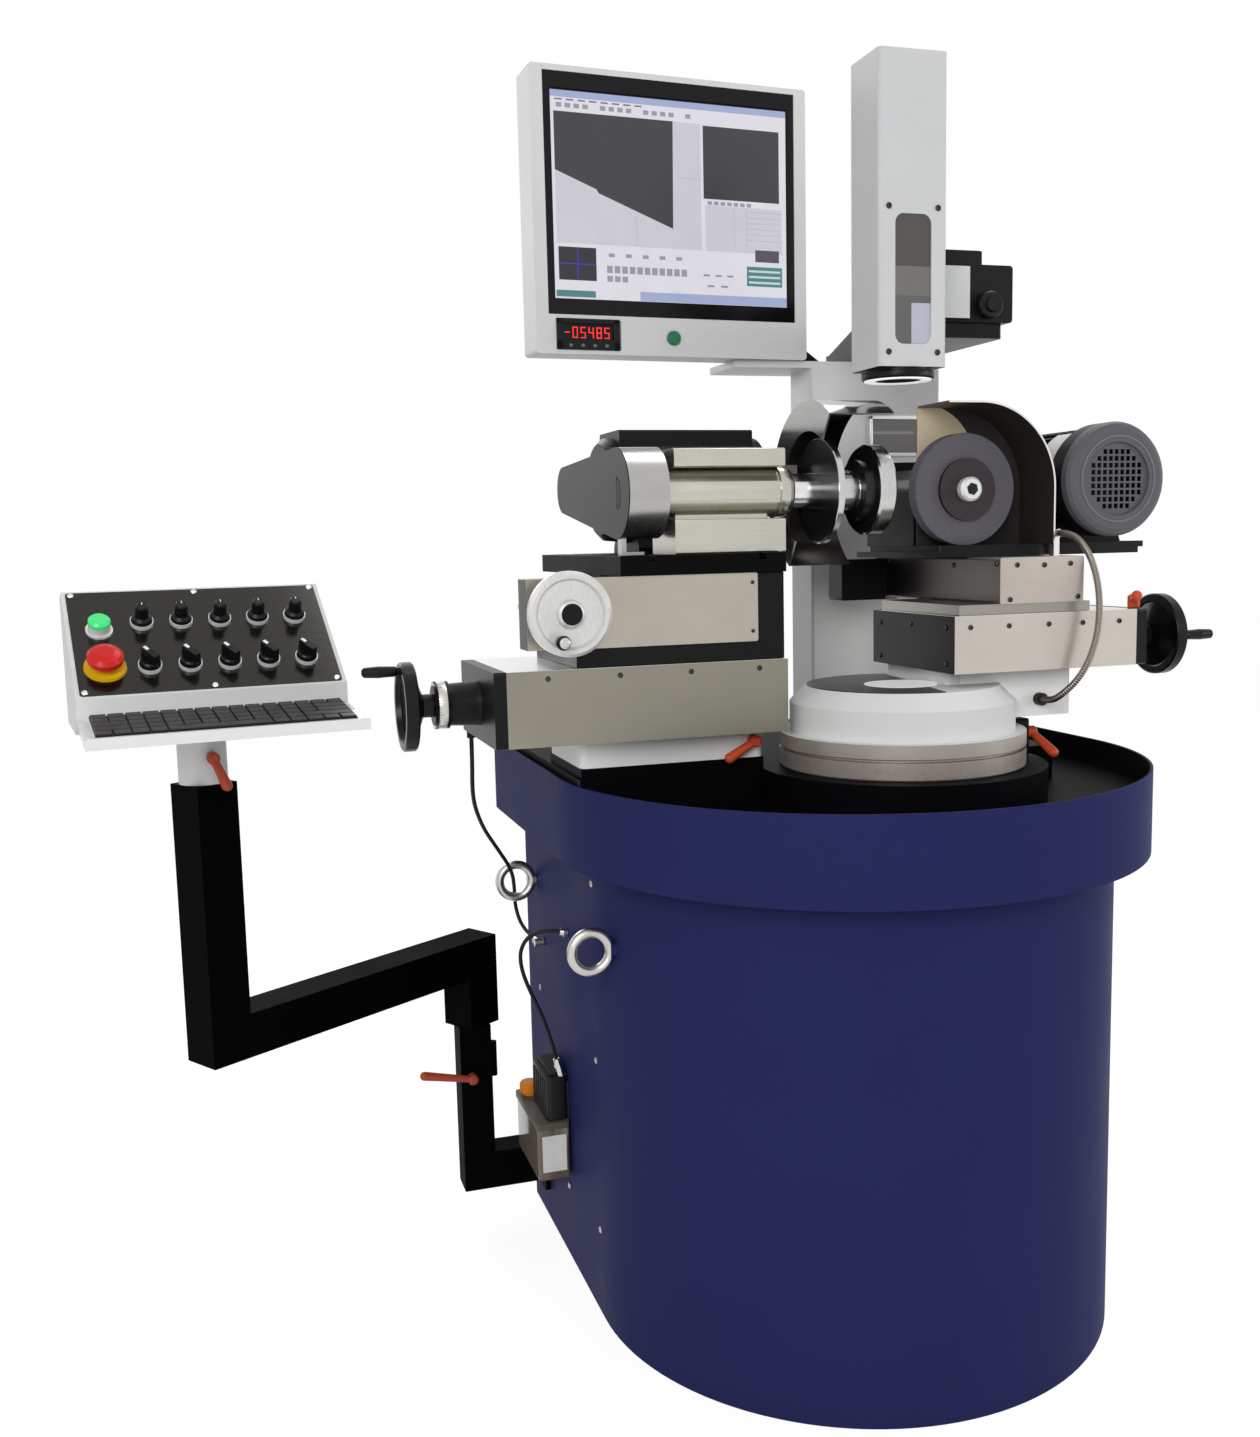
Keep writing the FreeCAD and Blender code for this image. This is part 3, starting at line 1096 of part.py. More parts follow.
def dress_head():
    """Base plates, spindle quill and the closed belt housing at the back."""
    base = box(HEAD_BASE_X, HEAD_BASE_RIGHT, HEAD_BASE_Y, HEAD_REAR, HEAD_BASE_Z, HEAD_PLATE_Z)
    plate = soft_box(HEAD_BASE_X + 20, HEAD_BASE_RIGHT + HEAD_PLATE_MORE, HEAD_BASE_Y, HEAD_REAR,
                     HEAD_PLATE_Z, HEAD_TOP, 4)
    quill = rod((DRESS_X, HOOD_BACK, DRESS_Z), Y_AXIS, QUILL_R, HEAD_REAR - HOOD_BACK)
    collar = rod((DRESS_X, HOOD_BACK, DRESS_Z), Y_AXIS, COLLAR_R, COLLAR_T)
    nose = rod((DRESS_X, HOOD_BACK - QUILL_NOSE, DRESS_Z), Y_AXIS, QUILL_R, QUILL_NOSE + 2)
    cradle = box(DRESS_X - CRADLE_W / 2, DRESS_X + CRADLE_W / 2, HOOD_BACK + CRADLE_GAP, HEAD_REAR,
                 HEAD_TOP, DRESS_Z)
    box_wire = pear_wire((DRESS_X, DRESS_Z), BELT_BOX_R, (DRESS_MOTOR_X, DRESS_MOTOR_Z),
                         BELT_BOX_R - 8, "y", HEAD_REAR)
    belt_box = extrude(box_wire, "y", BELT_BOX_D)
    rear_face = HEAD_REAR + BELT_BOX_D
    edge = [e for e in belt_box.Edges if e.BoundBox.YMin > rear_face - 1]
    belt_box = belt_box.makeFillet(6, edge)
    bore = rod((DRESS_X, HOOD_BACK - QUILL_NOSE, DRESS_Z), Y_AXIS, DRESS_SPINDLE_R + SHAFT_FIT,
               HEAD_REAR - HOOD_BACK + 2 * QUILL_NOSE)
    relief = rod((DRESS_X, -WHEEL_CLEAR, DRESS_Z), Y_AXIS, DRESS_WHEEL_R + WHEEL_CLEAR,
                 DRESS_WHEEL_T + 2 * WHEEL_CLEAR)
    return fuse(base, plate, quill, collar, nose, cradle, belt_box).cut([bore, relief])


def hood_wire(grow, at):
    """Arch outline of the dressing guard, shrunk by grow, in the XZ plane."""
    radius = HOOD_R - grow
    left = DRESS_X - HOOD_LEFT
    foot = HEAD_TOP
    a = in_plane("y", at, left, foot)
    b = in_plane("y", at, left, DRESS_Z + radius)
    c = in_plane("y", at, DRESS_X, DRESS_Z + radius)
    slant = radius * math.sqrt(0.5)
    m = in_plane("y", at, DRESS_X + slant, DRESS_Z + slant)
    d = in_plane("y", at, DRESS_X + radius, DRESS_Z)
    e = in_plane("y", at, DRESS_X + radius, foot)
    edges = [Part.makeLine(a, b), Part.makeLine(b, c), Part.Arc(c, m, d).toShape(),
             Part.makeLine(d, e), Part.makeLine(e, a)]
    return Part.Wire(edges)


def dress_guard():
    """Arched hood with a back plate, open at the left and the front."""
    deep = HOOD_BACK - HOOD_FRONT
    whole = extrude(hood_wire(0, HOOD_FRONT), "y", deep)
    inside = extrude(hood_wire(HOOD_SHEET, HOOD_FRONT), "y", deep - HOOD_SHEET)
    hole = rod((DRESS_X, HOOD_BACK - HOOD_SHEET, DRESS_Z), Y_AXIS, QUILL_R + RUN_GAP, HOOD_SHEET)
    return whole.cut([inside, hole])


def dress_motor():
    """Finned motor with a fan cowl whose front is a grille of square holes."""
    front = DRESS_MOTOR_FRONT
    y = front + COWL_L
    centre = (DRESS_MOTOR_X, front, DRESS_MOTOR_Z)
    cowl = spin([(0, 0), (0, DRESS_MOTOR_R - 9), (3, DRESS_MOTOR_R - 3), (8, DRESS_MOTOR_R),
                 (COWL_L, DRESS_MOTOR_R), (COWL_L, DRESS_MOTOR_R - COWL_SHEET),
                 (8, DRESS_MOTOR_R - COWL_SHEET), (5, DRESS_MOTOR_R - 6),
                 (3 * COWL_SHEET, GRILLE_R + 2), (3 * COWL_SHEET, 0)], centre, Y_AXIS)
    dish = rod(centre, Y_AXIS, GRILLE_R, 2 * COWL_SHEET)
    holes = []
    count = int(GRILLE_R / GRILLE_PITCH)
    half = GRILLE_HOLE / 2
    for row in range(-count, count + 1):
        for column in range(-count, count + 1):
            x = DRESS_MOTOR_X + column * GRILLE_PITCH
            z = DRESS_MOTOR_Z + row * GRILLE_PITCH
            reach = math.hypot(abs(column) * GRILLE_PITCH + half, abs(row) * GRILLE_PITCH + half)
            if reach < GRILLE_R - 1:
                holes.append(box(x - half, x + half, front, front + 4 * COWL_SHEET,
                                 z - half, z + half))
    cowl = cowl.cut([dish] + holes)
    rear = HEAD_REAR
    fin_l = rear - y - MOTOR_FLANGE_T
    core = spin([(0, 0), (0, FIN_ROOT_R), (fin_l, FIN_ROOT_R), (fin_l, FIN_R + 2), (rear - y, FIN_R + 2),
                 (rear - y, 0)], (DRESS_MOTOR_X, y, DRESS_MOTOR_Z), Y_AXIS)
    bearing = rod((DRESS_MOTOR_X, y - 12, DRESS_MOTOR_Z), Y_AXIS, FIN_ROOT_R - 14, 14)
    ring = tube((DRESS_MOTOR_X, y - 3, DRESS_MOTOR_Z), Y_AXIS, DRESS_MOTOR_R - COWL_SHEET,
                FIN_ROOT_R - 16, 8)
    fins = []
    for i in range(FIN_COUNT):
        angle = 360.0 * (i + 0.5) / FIN_COUNT
        fin = box(-FIN_T / 2, FIN_T / 2, y, y + fin_l, FIN_ROOT_R - 2, FIN_R)
        fin.Placement = FreeCAD.Placement(V(DRESS_MOTOR_X, 0, DRESS_MOTOR_Z),
                                          FreeCAD.Rotation(Y_AXIS, angle))
        fins.append(fin)
    wide = DRESS_FOOT_W / 2
    narrow = DRESS_FOOT_TOP_W / 2
    waist = DRESS_MOTOR_Z - FIN_ROOT_R + 14
    foot = prism([(DRESS_MOTOR_X - wide, HEAD_TOP), (DRESS_MOTOR_X + wide, HEAD_TOP),
                  (DRESS_MOTOR_X + narrow, waist), (DRESS_MOTOR_X - narrow, waist)],
                 "y", y + DRESS_FOOT_IN, rear - y - DRESS_FOOT_SHORT)
    return fuse(core, cowl, ring, bearing, foot, *fins)


def dress_spindle():
    """Spindle with both wheel flanges and the nut."""
    front = -DRESS_FLANGE_T
    rear = DRESS_WHEEL_T
    seat_l = HOOD_BACK - QUILL_NOSE - rear - RUN_GAP
    shaft_l = HEAD_REAR - front
    shaft = rod((DRESS_X, front, DRESS_Z), Y_AXIS, DRESS_SPINDLE_R, shaft_l)
    flange = rod((DRESS_X, front, DRESS_Z), Y_AXIS, DRESS_FLANGE_R, DRESS_FLANGE_T)
    seat = spin([(0, 0), (0, DRESS_FLANGE_R), (DRESS_FLANGE_T, DRESS_FLANGE_R),
                 (DRESS_FLANGE_T, DRESS_SPINDLE_R + 6),
                 (seat_l, DRESS_SPINDLE_R + 6), (seat_l, 0)], (DRESS_X, rear, DRESS_Z), Y_AXIS)
    nut = spin([(0, 0), (0, DRESS_NUT_R), (DRESS_NUT_T - 3, DRESS_NUT_R),
                (DRESS_NUT_T, DRESS_NUT_R - 3), (DRESS_NUT_T, 0)], (DRESS_X, front, DRESS_Z),
               Y_AXIS * -1)
    socket = box(DRESS_X - 5, DRESS_X + 5, front - DRESS_NUT_T, front - DRESS_NUT_T + 8,
                 DRESS_Z - 5, DRESS_Z + 5)
    return fuse(shaft, flange, seat, nut).cut(socket)


def dress_wheel():
    """Abrasive wheel between the flanges."""
    bore = DRESS_SPINDLE_R + HUB_FIT
    return spin([(0, bore), (0, DRESS_WHEEL_R - 1), (1, DRESS_WHEEL_R),
                 (DRESS_WHEEL_T - 1, DRESS_WHEEL_R), (DRESS_WHEEL_T, DRESS_WHEEL_R - 1),
                 (DRESS_WHEEL_T, bore)], (DRESS_X, 0, DRESS_Z), Y_AXIS)


def column():
    """Sheet column with a framed window and the head plate on top."""
    right = COLUMN_X + COLUMN_W
    back = COLUMN_Y + COLUMN_D
    outer = soft_box(COLUMN_X, right, COLUMN_Y, back, PLINTH_Z, COLUMN_TOP, COLUMN_ROUND)
    inner = box(COLUMN_X + COLUMN_WALL, right - COLUMN_WALL, COLUMN_Y + COLUMN_WALL,
                back - COLUMN_WALL, PLINTH_Z, COLUMN_TOP)
    low = PLINTH_Z + WINDOW_UP
    recess = box(WINDOW_X, WINDOW_X + WINDOW_W, COLUMN_Y, COLUMN_Y + WINDOW_DEEP,
                 low, low + WINDOW_H)
    plate = soft_box(HEAD_PLATE_X, right, COLUMN_Y, COLUMN_Y + HEAD_PLATE_D,
                     COLUMN_TOP, HEAD_PLATE_TOP, 6)
    pin = rod((SWIVEL_X, SWIVEL_Y, COLUMN_TOP), Z_AXIS, SWIVEL_PIN_R, HEAD_PLATE_T + SWIVEL_H)
    gusset = prism([(GUSSET_X, HEAD_PLATE_TOP), (GUSSET_X + GUSSET_W, HEAD_PLATE_TOP),
                    (GUSSET_X, HEAD_PLATE_TOP + GUSSET_H)], "y", GUSSET_Y, GUSSET_T)
    return fuse(outer.cut([inner, recess]), plate, pin, gusset)


def camera_arm():
    """Black beam on the head plate with a thin nose under the stage."""
    back = COLUMN_Y + HEAD_PLATE_D - 8
    top = HEAD_PLATE_TOP + ARM_PLATE_T
    right = ARM_X + ARM_W
    foot = box(right - ARM_W / 2, right - ARM_W + ARM_FOOT_W, COLUMN_Y + 10, back, HEAD_PLATE_TOP, top)
    nose = soft_box(ARM_X, right, ARM_NOSE_Y, back, HEAD_PLATE_TOP, top, 5)
    tail = back - 14
    beam = prism([(ARM_FRONT, top), (tail, top), (tail - ARM_SLOPE_L, top + ARM_BEAM_H),
                  (ARM_FRONT, top + ARM_BEAM_H)], "x", ARM_X, ARM_W)
    return fuse(foot, nose, beam)


def camera_stage():
    """Stage block that carries the camera and both knobs."""
    right = STAGE_X + STAGE_W
    block = soft_box(STAGE_X, right, STAGE_Y, STAGE_Y + STAGE_D, STAGE_Z, STAGE_Z + STAGE_H,
                     5, Y_AXIS)
    cap = soft_box(STAGE_X, STAGE_X + STAGE_CAP_W, STAGE_Y, STAGE_Y + STAGE_D, STAGE_Z + STAGE_H - 5,
                   STAGE_Z + STAGE_H + STAGE_CAP_H, 3, Y_AXIS)
    deep = KNOB_SHAFT_L + 2
    hole = KNOB_SHAFT_R + SHAFT_FIT
    bore_x = rod((right - deep, KNOB_X_AT[0], KNOB_X_AT[1]), X_AXIS, hole, deep)
    bore_y = rod((KNOB_Y_AT[0], STAGE_Y, KNOB_Y_AT[1]), Y_AXIS, hole, deep)
    return fuse(block, cap).cut([bore_x, bore_y])


def stage_knob(face, axis, radius):
    """Stage knob with a stepped face and its shaft, from the stage face outwards."""
    knob = spin([(RUN_GAP, 0), (RUN_GAP, radius * 0.7), (5, radius * 0.7), (6, radius),
                 (KNOB_L - 6, radius), (KNOB_L - 4, radius - 2), (KNOB_L - 4, radius * 0.6),
                 (KNOB_L, radius * 0.5), (KNOB_L, 0)], face, axis)
    shaft = rod(face, axis * -1, KNOB_SHAFT_R, KNOB_SHAFT_L)
    neck = rod(face, axis, KNOB_SHAFT_R, 2)
    return fuse(knob, shaft, neck)


def camera_housing():
    """Tall camera cover with a recessed front window, lens ring and mount plate."""
    half = CAMERA_W / 2
    outer = soft_box(-half, half, CAMERA_FRONT, CAMERA_BACK, CAMERA_Z, CAMERA_Z + CAMERA_H,
                     CAMERA_ROUND)
    inner = box(-half + CAMERA_WALL, half - CAMERA_WALL, CAMERA_FRONT + 2 * CAMERA_WALL,
                CAMERA_BACK - CAMERA_WALL, CAMERA_Z + CAMERA_WALL,
                CAMERA_Z + CAMERA_H - CAMERA_WALL)
    window = soft_box(-CAMERA_WINDOW_W / 2, CAMERA_WINDOW_W / 2, CAMERA_FRONT,
                      CAMERA_FRONT + CAMERA_WALL, CAMERA_Z + CAMERA_WINDOW_UP,
                      CAMERA_Z + CAMERA_WINDOW_UP + CAMERA_WINDOW_H, 12, Y_AXIS)
    lens = spin([(0, LENS_BORE), (0, LENS_R - 4), (-3, LENS_R - 4), (-4, LENS_R),
                 (-LENS_H + 2, LENS_R), (-LENS_H, LENS_R - 2), (-LENS_H, LENS_BORE)],
                (0, LENS_Y, CAMERA_Z), Z_AXIS)
    port = rod((0, LENS_Y, CAMERA_Z), Z_AXIS, LENS_BORE, CAMERA_WALL)
    mount_low = STAGE_Z + MOUNT_UP
    mount = box(STAGE_X + STAGE_W / 2 - MOUNT_W, STAGE_X + STAGE_W / 2, CAMERA_BACK, STAGE_Y - RUN_GAP,
                mount_low, mount_low + MOUNT_H)
    return fuse(outer.cut([inner, window, port]), lens, mount)


def monitor_housing():
    """Panel monitor case with a rear sleeve round the swivel pin."""
    low = HEAD_PLATE_TOP + RUN_GAP
    left = MONITOR_SHIFT - MONITOR_W / 2
    right = MONITOR_SHIFT + MONITOR_W / 2
    front = -MONITOR_OUT
    middle = low + MONITOR_H / 2
    case = soft_box(left, right, front, front + MONITOR_T, low, low + MONITOR_H, 5, Y_AXIS)
    hollow = box(left + 4, right - 4, front + 12, front + MONITOR_T - 3, low + 4,
                 low + MONITOR_H - 4)
    recess = box(MONITOR_SHIFT - BEZEL_W / 2, MONITOR_SHIFT + BEZEL_W / 2, front,
                 front + BEZEL_T, middle + BEZEL_UP - BEZEL_H / 2, middle + BEZEL_UP + BEZEL_H / 2)
    meter_x = MONITOR_SHIFT + METER_AT[0]
    meter_z = middle + METER_AT[1]
    meter = box(meter_x - METER_W / 2, meter_x + METER_W / 2, front, front + 3,
                meter_z - METER_H / 2 + 4, meter_z + METER_H / 2 - 4)
    hole = rod((MONITOR_SHIFT + MONITOR_BUTTON_AT[0], front, middle + MONITOR_BUTTON_AT[1]),
               Y_AXIS, BUTTON_R - 1 + RUN_GAP, BUTTON_DEEP)
    pin_hole = SWIVEL_PIN_R + SHAFT_FIT
    sleeve = spin([(0, pin_hole), (0, SLEEVE_FOOT_R), (6, SLEEVE_FOOT_R), (14, 22), (SWIVEL_H, 20),
                   (SWIVEL_H, pin_hole)], (0, 0, low), Z_AXIS)
    bracket = box(-18, 12, front + MONITOR_T - 1, -SWIVEL_PIN_R - 2, low + 2, low + SWIVEL_H - 4)
    case = fuse(case.cut([hollow, recess, meter, hole]), sleeve, bracket)
    return turned(case, MONITOR_YAW, SWIVEL_X, SWIVEL_Y)


def monitor_screen():
    """Display with its bezel, set in the recess of the case."""
    low = HEAD_PLATE_TOP + RUN_GAP
    middle = low + MONITOR_H / 2 + BEZEL_UP
    front = -MONITOR_OUT
    play = 0.5
    rim = 11.0
    slab = box(MONITOR_SHIFT - BEZEL_W / 2 + play, MONITOR_SHIFT + BEZEL_W / 2 - play,
               front + 1, front + BEZEL_T, middle - BEZEL_H / 2 + play, middle + BEZEL_H / 2 - play)
    glass = box(MONITOR_SHIFT - BEZEL_W / 2 + rim, MONITOR_SHIFT + BEZEL_W / 2 - rim,
                front + 1, front + 3, middle - BEZEL_H / 2 + 2 * rim, middle + BEZEL_H / 2 - 2 * rim)
    return turned(slab.cut(glass), MONITOR_YAW, SWIVEL_X, SWIVEL_Y)


def push_button(face, axis):
    """Round push button: cap outside the panel and stem inside."""
    return spin([(-BUTTON_DEEP, 0), (-BUTTON_DEEP, BUTTON_R - 1), (BUTTON_PROUD - 1, BUTTON_R - 1),
                 (BUTTON_PROUD, BUTTON_R - 2), (BUTTON_PROUD, 0)], face, axis)


def monitor_button():
    """Green button below the screen."""
    low = HEAD_PLATE_TOP + RUN_GAP
    middle = low + MONITOR_H / 2
    face = (MONITOR_SHIFT + MONITOR_BUTTON_AT[0], -MONITOR_OUT, middle + MONITOR_BUTTON_AT[1])
    return turned(push_button(face, Y_AXIS * -1), MONITOR_YAW, SWIVEL_X, SWIVEL_Y)


def arm_post():
    """Square post on a foot bracket, with the pin for the arm."""
    half = POST_W / 2
    outer = box(POST_X - half, POST_X + half, POST_Y - half, POST_Y + half, POST_FOOT_Z, POST_TOP)
    inner = box(POST_X - half + TUBE_WALL, POST_X + half - TUBE_WALL, POST_Y - half + TUBE_WALL,
                POST_Y + half - TUBE_WALL, POST_FOOT_Z, POST_TOP - 12)
    pin = rod((POST_X, POST_Y, POST_TOP - 6), Z_AXIS, ARM_PIN_R, ARM_TOP - 20 - POST_TOP)
    wall_x = BODY_X - CABINET_R
    plate_x = wall_x - POST_FLANGE_T
    foot = box(POST_X + half - 1, plate_x, POST_Y - half, POST_Y + half, POST_FOOT_Z,
               POST_FOOT_Z + POST_FOOT_H)
    wide = half + POST_FLANGE_MORE
    flange = soft_box(plate_x, wall_x, POST_Y - wide, POST_Y + wide, POST_FOOT_Z - POST_FLANGE_MORE,
                      POST_FOOT_Z + POST_FOOT_H + POST_FLANGE_MORE, 6, X_AXIS)
    stop = rod((POST_X + half + POST_STOP_R - 1, POST_Y - 10, POST_TOP - POST_STOP_DOWN - POST_STOP_L),
               Z_AXIS, POST_STOP_R, POST_STOP_L)
    return fuse(outer.cut(inner), pin, foot, flange, stop)


def console_arm():
    """Square tube arm: sleeve on the post, beam and upright."""
    half = ARM_TUBE / 2
    thin = half - TUBE_WALL
    low = POST_TOP + RUN_GAP
    beam_low = ARM_TOP - ARM_TUBE
    neck_low = CONSOLE_POST_TOP - NECK_SEAT_T
    sleeve = box(-half, half, -half, half, low, ARM_TOP)
    beam = box(-half, ARM_REACH + half, -half, half, beam_low, ARM_TOP)
    upright = box(ARM_REACH - half, ARM_REACH + half, -half, half, beam_low, CONSOLE_POST_TOP)
    inner = fuse(box(-thin, thin, -thin, thin, low + ARM_SEAT_T, ARM_TOP - TUBE_WALL),
                 box(-thin, ARM_REACH + thin, -thin, thin, beam_low + TUBE_WALL,
                     ARM_TOP - TUBE_WALL),
                 box(ARM_REACH - thin, ARM_REACH + thin, -thin, thin, beam_low + TUBE_WALL,
                     neck_low))
    bore = rod((0, 0, low), Z_AXIS, ARM_PIN_R + SHAFT_FIT, ARM_SEAT_T)
    top_bore = rod((ARM_REACH, 0, neck_low), Z_AXIS, NECK_PIN_R + SHAFT_FIT, NECK_SEAT_T)
    arm = fuse(sleeve, beam, upright).cut([inner, bore, top_bore])
    return turned(arm, ARM_TURN, POST_X, POST_Y)


def on_panel(along, down, out=0.0):
    """Point of the sloping panel in the console's own frame."""
    point = V(PANEL_SIDE + along, -PANEL_OUT - down * math.cos(SLOPE),
              PANEL_Z - down * math.sin(SLOPE))
    return tuple(point + PANEL_NORMAL * out)


def in_console(shape):
    """Console piece, drawn about the upright's axis, set in place."""
    return turned(shape, CONSOLE_YAW, CONSOLE_X, CONSOLE_Y)


def console_box():
    """Sloping console with bezels, keyboard shelf, neck and pin."""
    top_y = -PANEL_OUT + PANEL_L / 2 * math.cos(SLOPE)
    top_z = PANEL_Z + PANEL_L / 2 * math.sin(SLOPE)
    low_y = -PANEL_OUT - PANEL_L / 2 * math.cos(SLOPE)
    low_z = PANEL_Z - PANEL_L / 2 * math.sin(SLOPE)
    lip_z = low_z - CONSOLE_LIP
    left = PANEL_SIDE - CONSOLE_W / 2
    case = prism([(low_y, low_z), (low_y, lip_z), (low_y + 40, CONSOLE_FLOOR_Z),
                  (CONSOLE_BACK, CONSOLE_FLOOR_Z), (CONSOLE_BACK, top_z - 10), (top_y, top_z)],
                 "x", left, CONSOLE_W)
    wall = CONSOLE_WALL
    cavity = prism([(low_y + wall + 14, low_z - 2), (low_y + wall + 14, lip_z + 2),
                    (low_y + 46, CONSOLE_FLOOR_Z + wall), (CONSOLE_BACK - wall, CONSOLE_FLOOR_Z + wall),
                    (CONSOLE_BACK - wall, top_z - 26), (top_y, top_z - 20)],
                   "x", left + wall, CONSOLE_W - 2 * wall)
    far_y = low_y - SHELF_D
    shelf = prism([(low_y + 1, lip_z), (low_y + 1, lip_z - SHELF_T),
                   (far_y, lip_z - SHELF_DROP - SHELF_T), (far_y - 4, lip_z - SHELF_DROP + 6),
                   (far_y, lip_z - SHELF_DROP + 6), (far_y, lip_z - SHELF_DROP)],
                  "x", left, CONSOLE_W)
    tilt = SHELF_DROP / SHELF_D
    near_y = low_y - (SHELF_D - KEYS_D) / 2
    end_y = near_y - KEYS_D
    near_z = lip_z - (low_y - near_y) * tilt
    end_z = lip_z - (low_y - end_y) * tilt
    keys = prism([(near_y, near_z - 1), (end_y, end_z - 1), (end_y, end_z + KEYS_T - 2),
                  (near_y, near_z + KEYS_T)], "x", left + 12, CONSOLE_W - 24)
    neck_low = CONSOLE_POST_TOP + RUN_GAP
    neck = rod((0, 0, neck_low), Z_AXIS, NECK_R, CONSOLE_FLOOR_Z - neck_low + 1)
    pin = rod((0, 0, CONSOLE_POST_TOP - NECK_PIN_L), Z_AXIS, NECK_PIN_R, NECK_PIN_L + 2)
    rings = []
    holes = []
    for along, down in SPEED_PLACES + SELECT_PLACES:
        rings.append(rod(on_panel(along, down, -1), PANEL_NORMAL, BEZEL_RING_R, BEZEL_RING_H + 1))
        holes.append(rod(on_panel(along, down, -10), PANEL_NORMAL, SPINDLE_STUB_R + SHAFT_FIT, 20))
    rings.append(rod(on_panel(*START_AT, -1), PANEL_NORMAL, START_RING_R, BEZEL_RING_H - 1))
    holes.append(rod(on_panel(*START_AT, -30), PANEL_NORMAL, START_R + RUN_GAP, 40))
    rings.append(rod(on_panel(*STOP_AT, -1), PANEL_NORMAL, STOP_RING_R, BEZEL_RING_H))
    holes.append(rod(on_panel(*STOP_AT, -30), PANEL_NORMAL, STOP_STEM_R + RUN_GAP, 40))
    whole = fuse(case.cut(cavity), shelf, keys, neck, pin, *rings).cut(holes)
    return in_console(whole)


def panel_knob(along, down, winged):
    """Skirted knob on its stub: a round post, or a grip bar for a selector."""
    seat = on_panel(along, down, BEZEL_RING_H + RUN_GAP)
    skirt = KNOB_SKIRT_R
    high = KNOB_SKIRT_H
    if winged:
        turn = spin([(0, 0), (0, skirt), (high - 2, skirt - 1), (high, skirt - 3), (high, 0)], seat,
                    PANEL_NORMAL)
        bar = box(-SELECT_BAR_W / 2, SELECT_BAR_W / 2, -SELECT_BAR_L / 2, SELECT_BAR_L / 2,
                  high / 2, PANEL_KNOB_H - 4)
        tilt = FreeCAD.Rotation(X_AXIS, PANEL_SLOPE)
        bar.Placement = FreeCAD.Placement(V(*seat), tilt * FreeCAD.Rotation(Z_AXIS, SELECT_TURN))
        turn = fuse(turn, bar)
    else:
        turn = spin([(0, 0), (0, skirt), (high - 3, skirt - 1), (high, PANEL_KNOB_R + 1),
                     (PANEL_KNOB_H - 2, PANEL_KNOB_R), (PANEL_KNOB_H, PANEL_KNOB_R - 1.5),
                     (PANEL_KNOB_H, 0)], seat, PANEL_NORMAL)
    stub = rod(on_panel(along, down, -8), PANEL_NORMAL, SPINDLE_STUB_R, 8 + BEZEL_RING_H + 2)
    return in_console(fuse(turn, stub))


def start_button():
    """Tall lit start button."""
    cap = spin([(-BUTTON_DEEP, 0), (-BUTTON_DEEP, START_R), (START_PROUD - 3, START_R),
                (START_PROUD, START_R - 3), (START_PROUD, 0)], on_panel(*START_AT), PANEL_NORMAL)
    return in_console(cap)


def e_stop():
    """Red mushroom head on its stem."""
    head = spin([(-BUTTON_DEEP, 0), (-BUTTON_DEEP, STOP_STEM_R), (STOP_H - 17, STOP_STEM_R),
                 (STOP_H - 15, STOP_R - 3), (STOP_H - 12, STOP_R), (STOP_H - 6, STOP_R),
                 (STOP_H - 2, STOP_R - 4), (STOP_H, STOP_R - 11), (STOP_H, 0)],
                on_panel(*STOP_AT), PANEL_NORMAL)
    return in_console(head)


def lubricator():
    """Clear tank, pump head with cap and outlet, and the wall plate."""
    wall = BODY_X - CABINET_R
    left = wall - LUBE_W
    back = LUBE_Y + LUBE_L
    top = LUBE_Z + TANK_H
    tank = soft_box(left, wall - 3, LUBE_Y, back, LUBE_Z, top, 6)
    hollow = soft_box(left + TANK_WALL, wall - 3 - TANK_WALL, LUBE_Y + TANK_WALL,
                      back - TANK_WALL, LUBE_Z + TANK_WALL, top, 4)
    lid = soft_box(left - 2, wall - 3, LUBE_Y - 2, back + 2, top, top + 10, 6)
    pump = soft_box(left + 16, wall - 3, PUMP_Y, PUMP_Y + PUMP_L, top + 10, top + PUMP_H - 6, 8)
    crown = soft_box(left + 22, wall - 6, PUMP_Y + 6, PUMP_Y + PUMP_L - 8, top + PUMP_H - 6,
                     top + PUMP_H, 6)
    cap_y = back - LUBE_CAP_R - 6
    cap = spin([(0, 0), (0, LUBE_CAP_R - 3), (4, LUBE_CAP_R - 3), (4, LUBE_CAP_R),
                (LUBE_CAP_H - 2, LUBE_CAP_R), (LUBE_CAP_H, LUBE_CAP_R - 2), (LUBE_CAP_H, 0)],
               (left + LUBE_CAP_R + 2, cap_y, top + 10), Z_AXIS)
    plate = box(wall - 3, wall, LUBE_Y + 14, back - 14, LUBE_Z + 10, top + PUMP_H - 20)
    start = V(*HOSE_LOWER[0])
    heading = V(*HOSE_LOWER[1]) - start
    heading.normalize()
    outlet = Part.makeCylinder(FITTING_R, OUTLET_L, start - heading * OUTLET_L, heading)
    return fuse(tank.cut(hollow), lid, pump, crown, cap, plate, outlet)


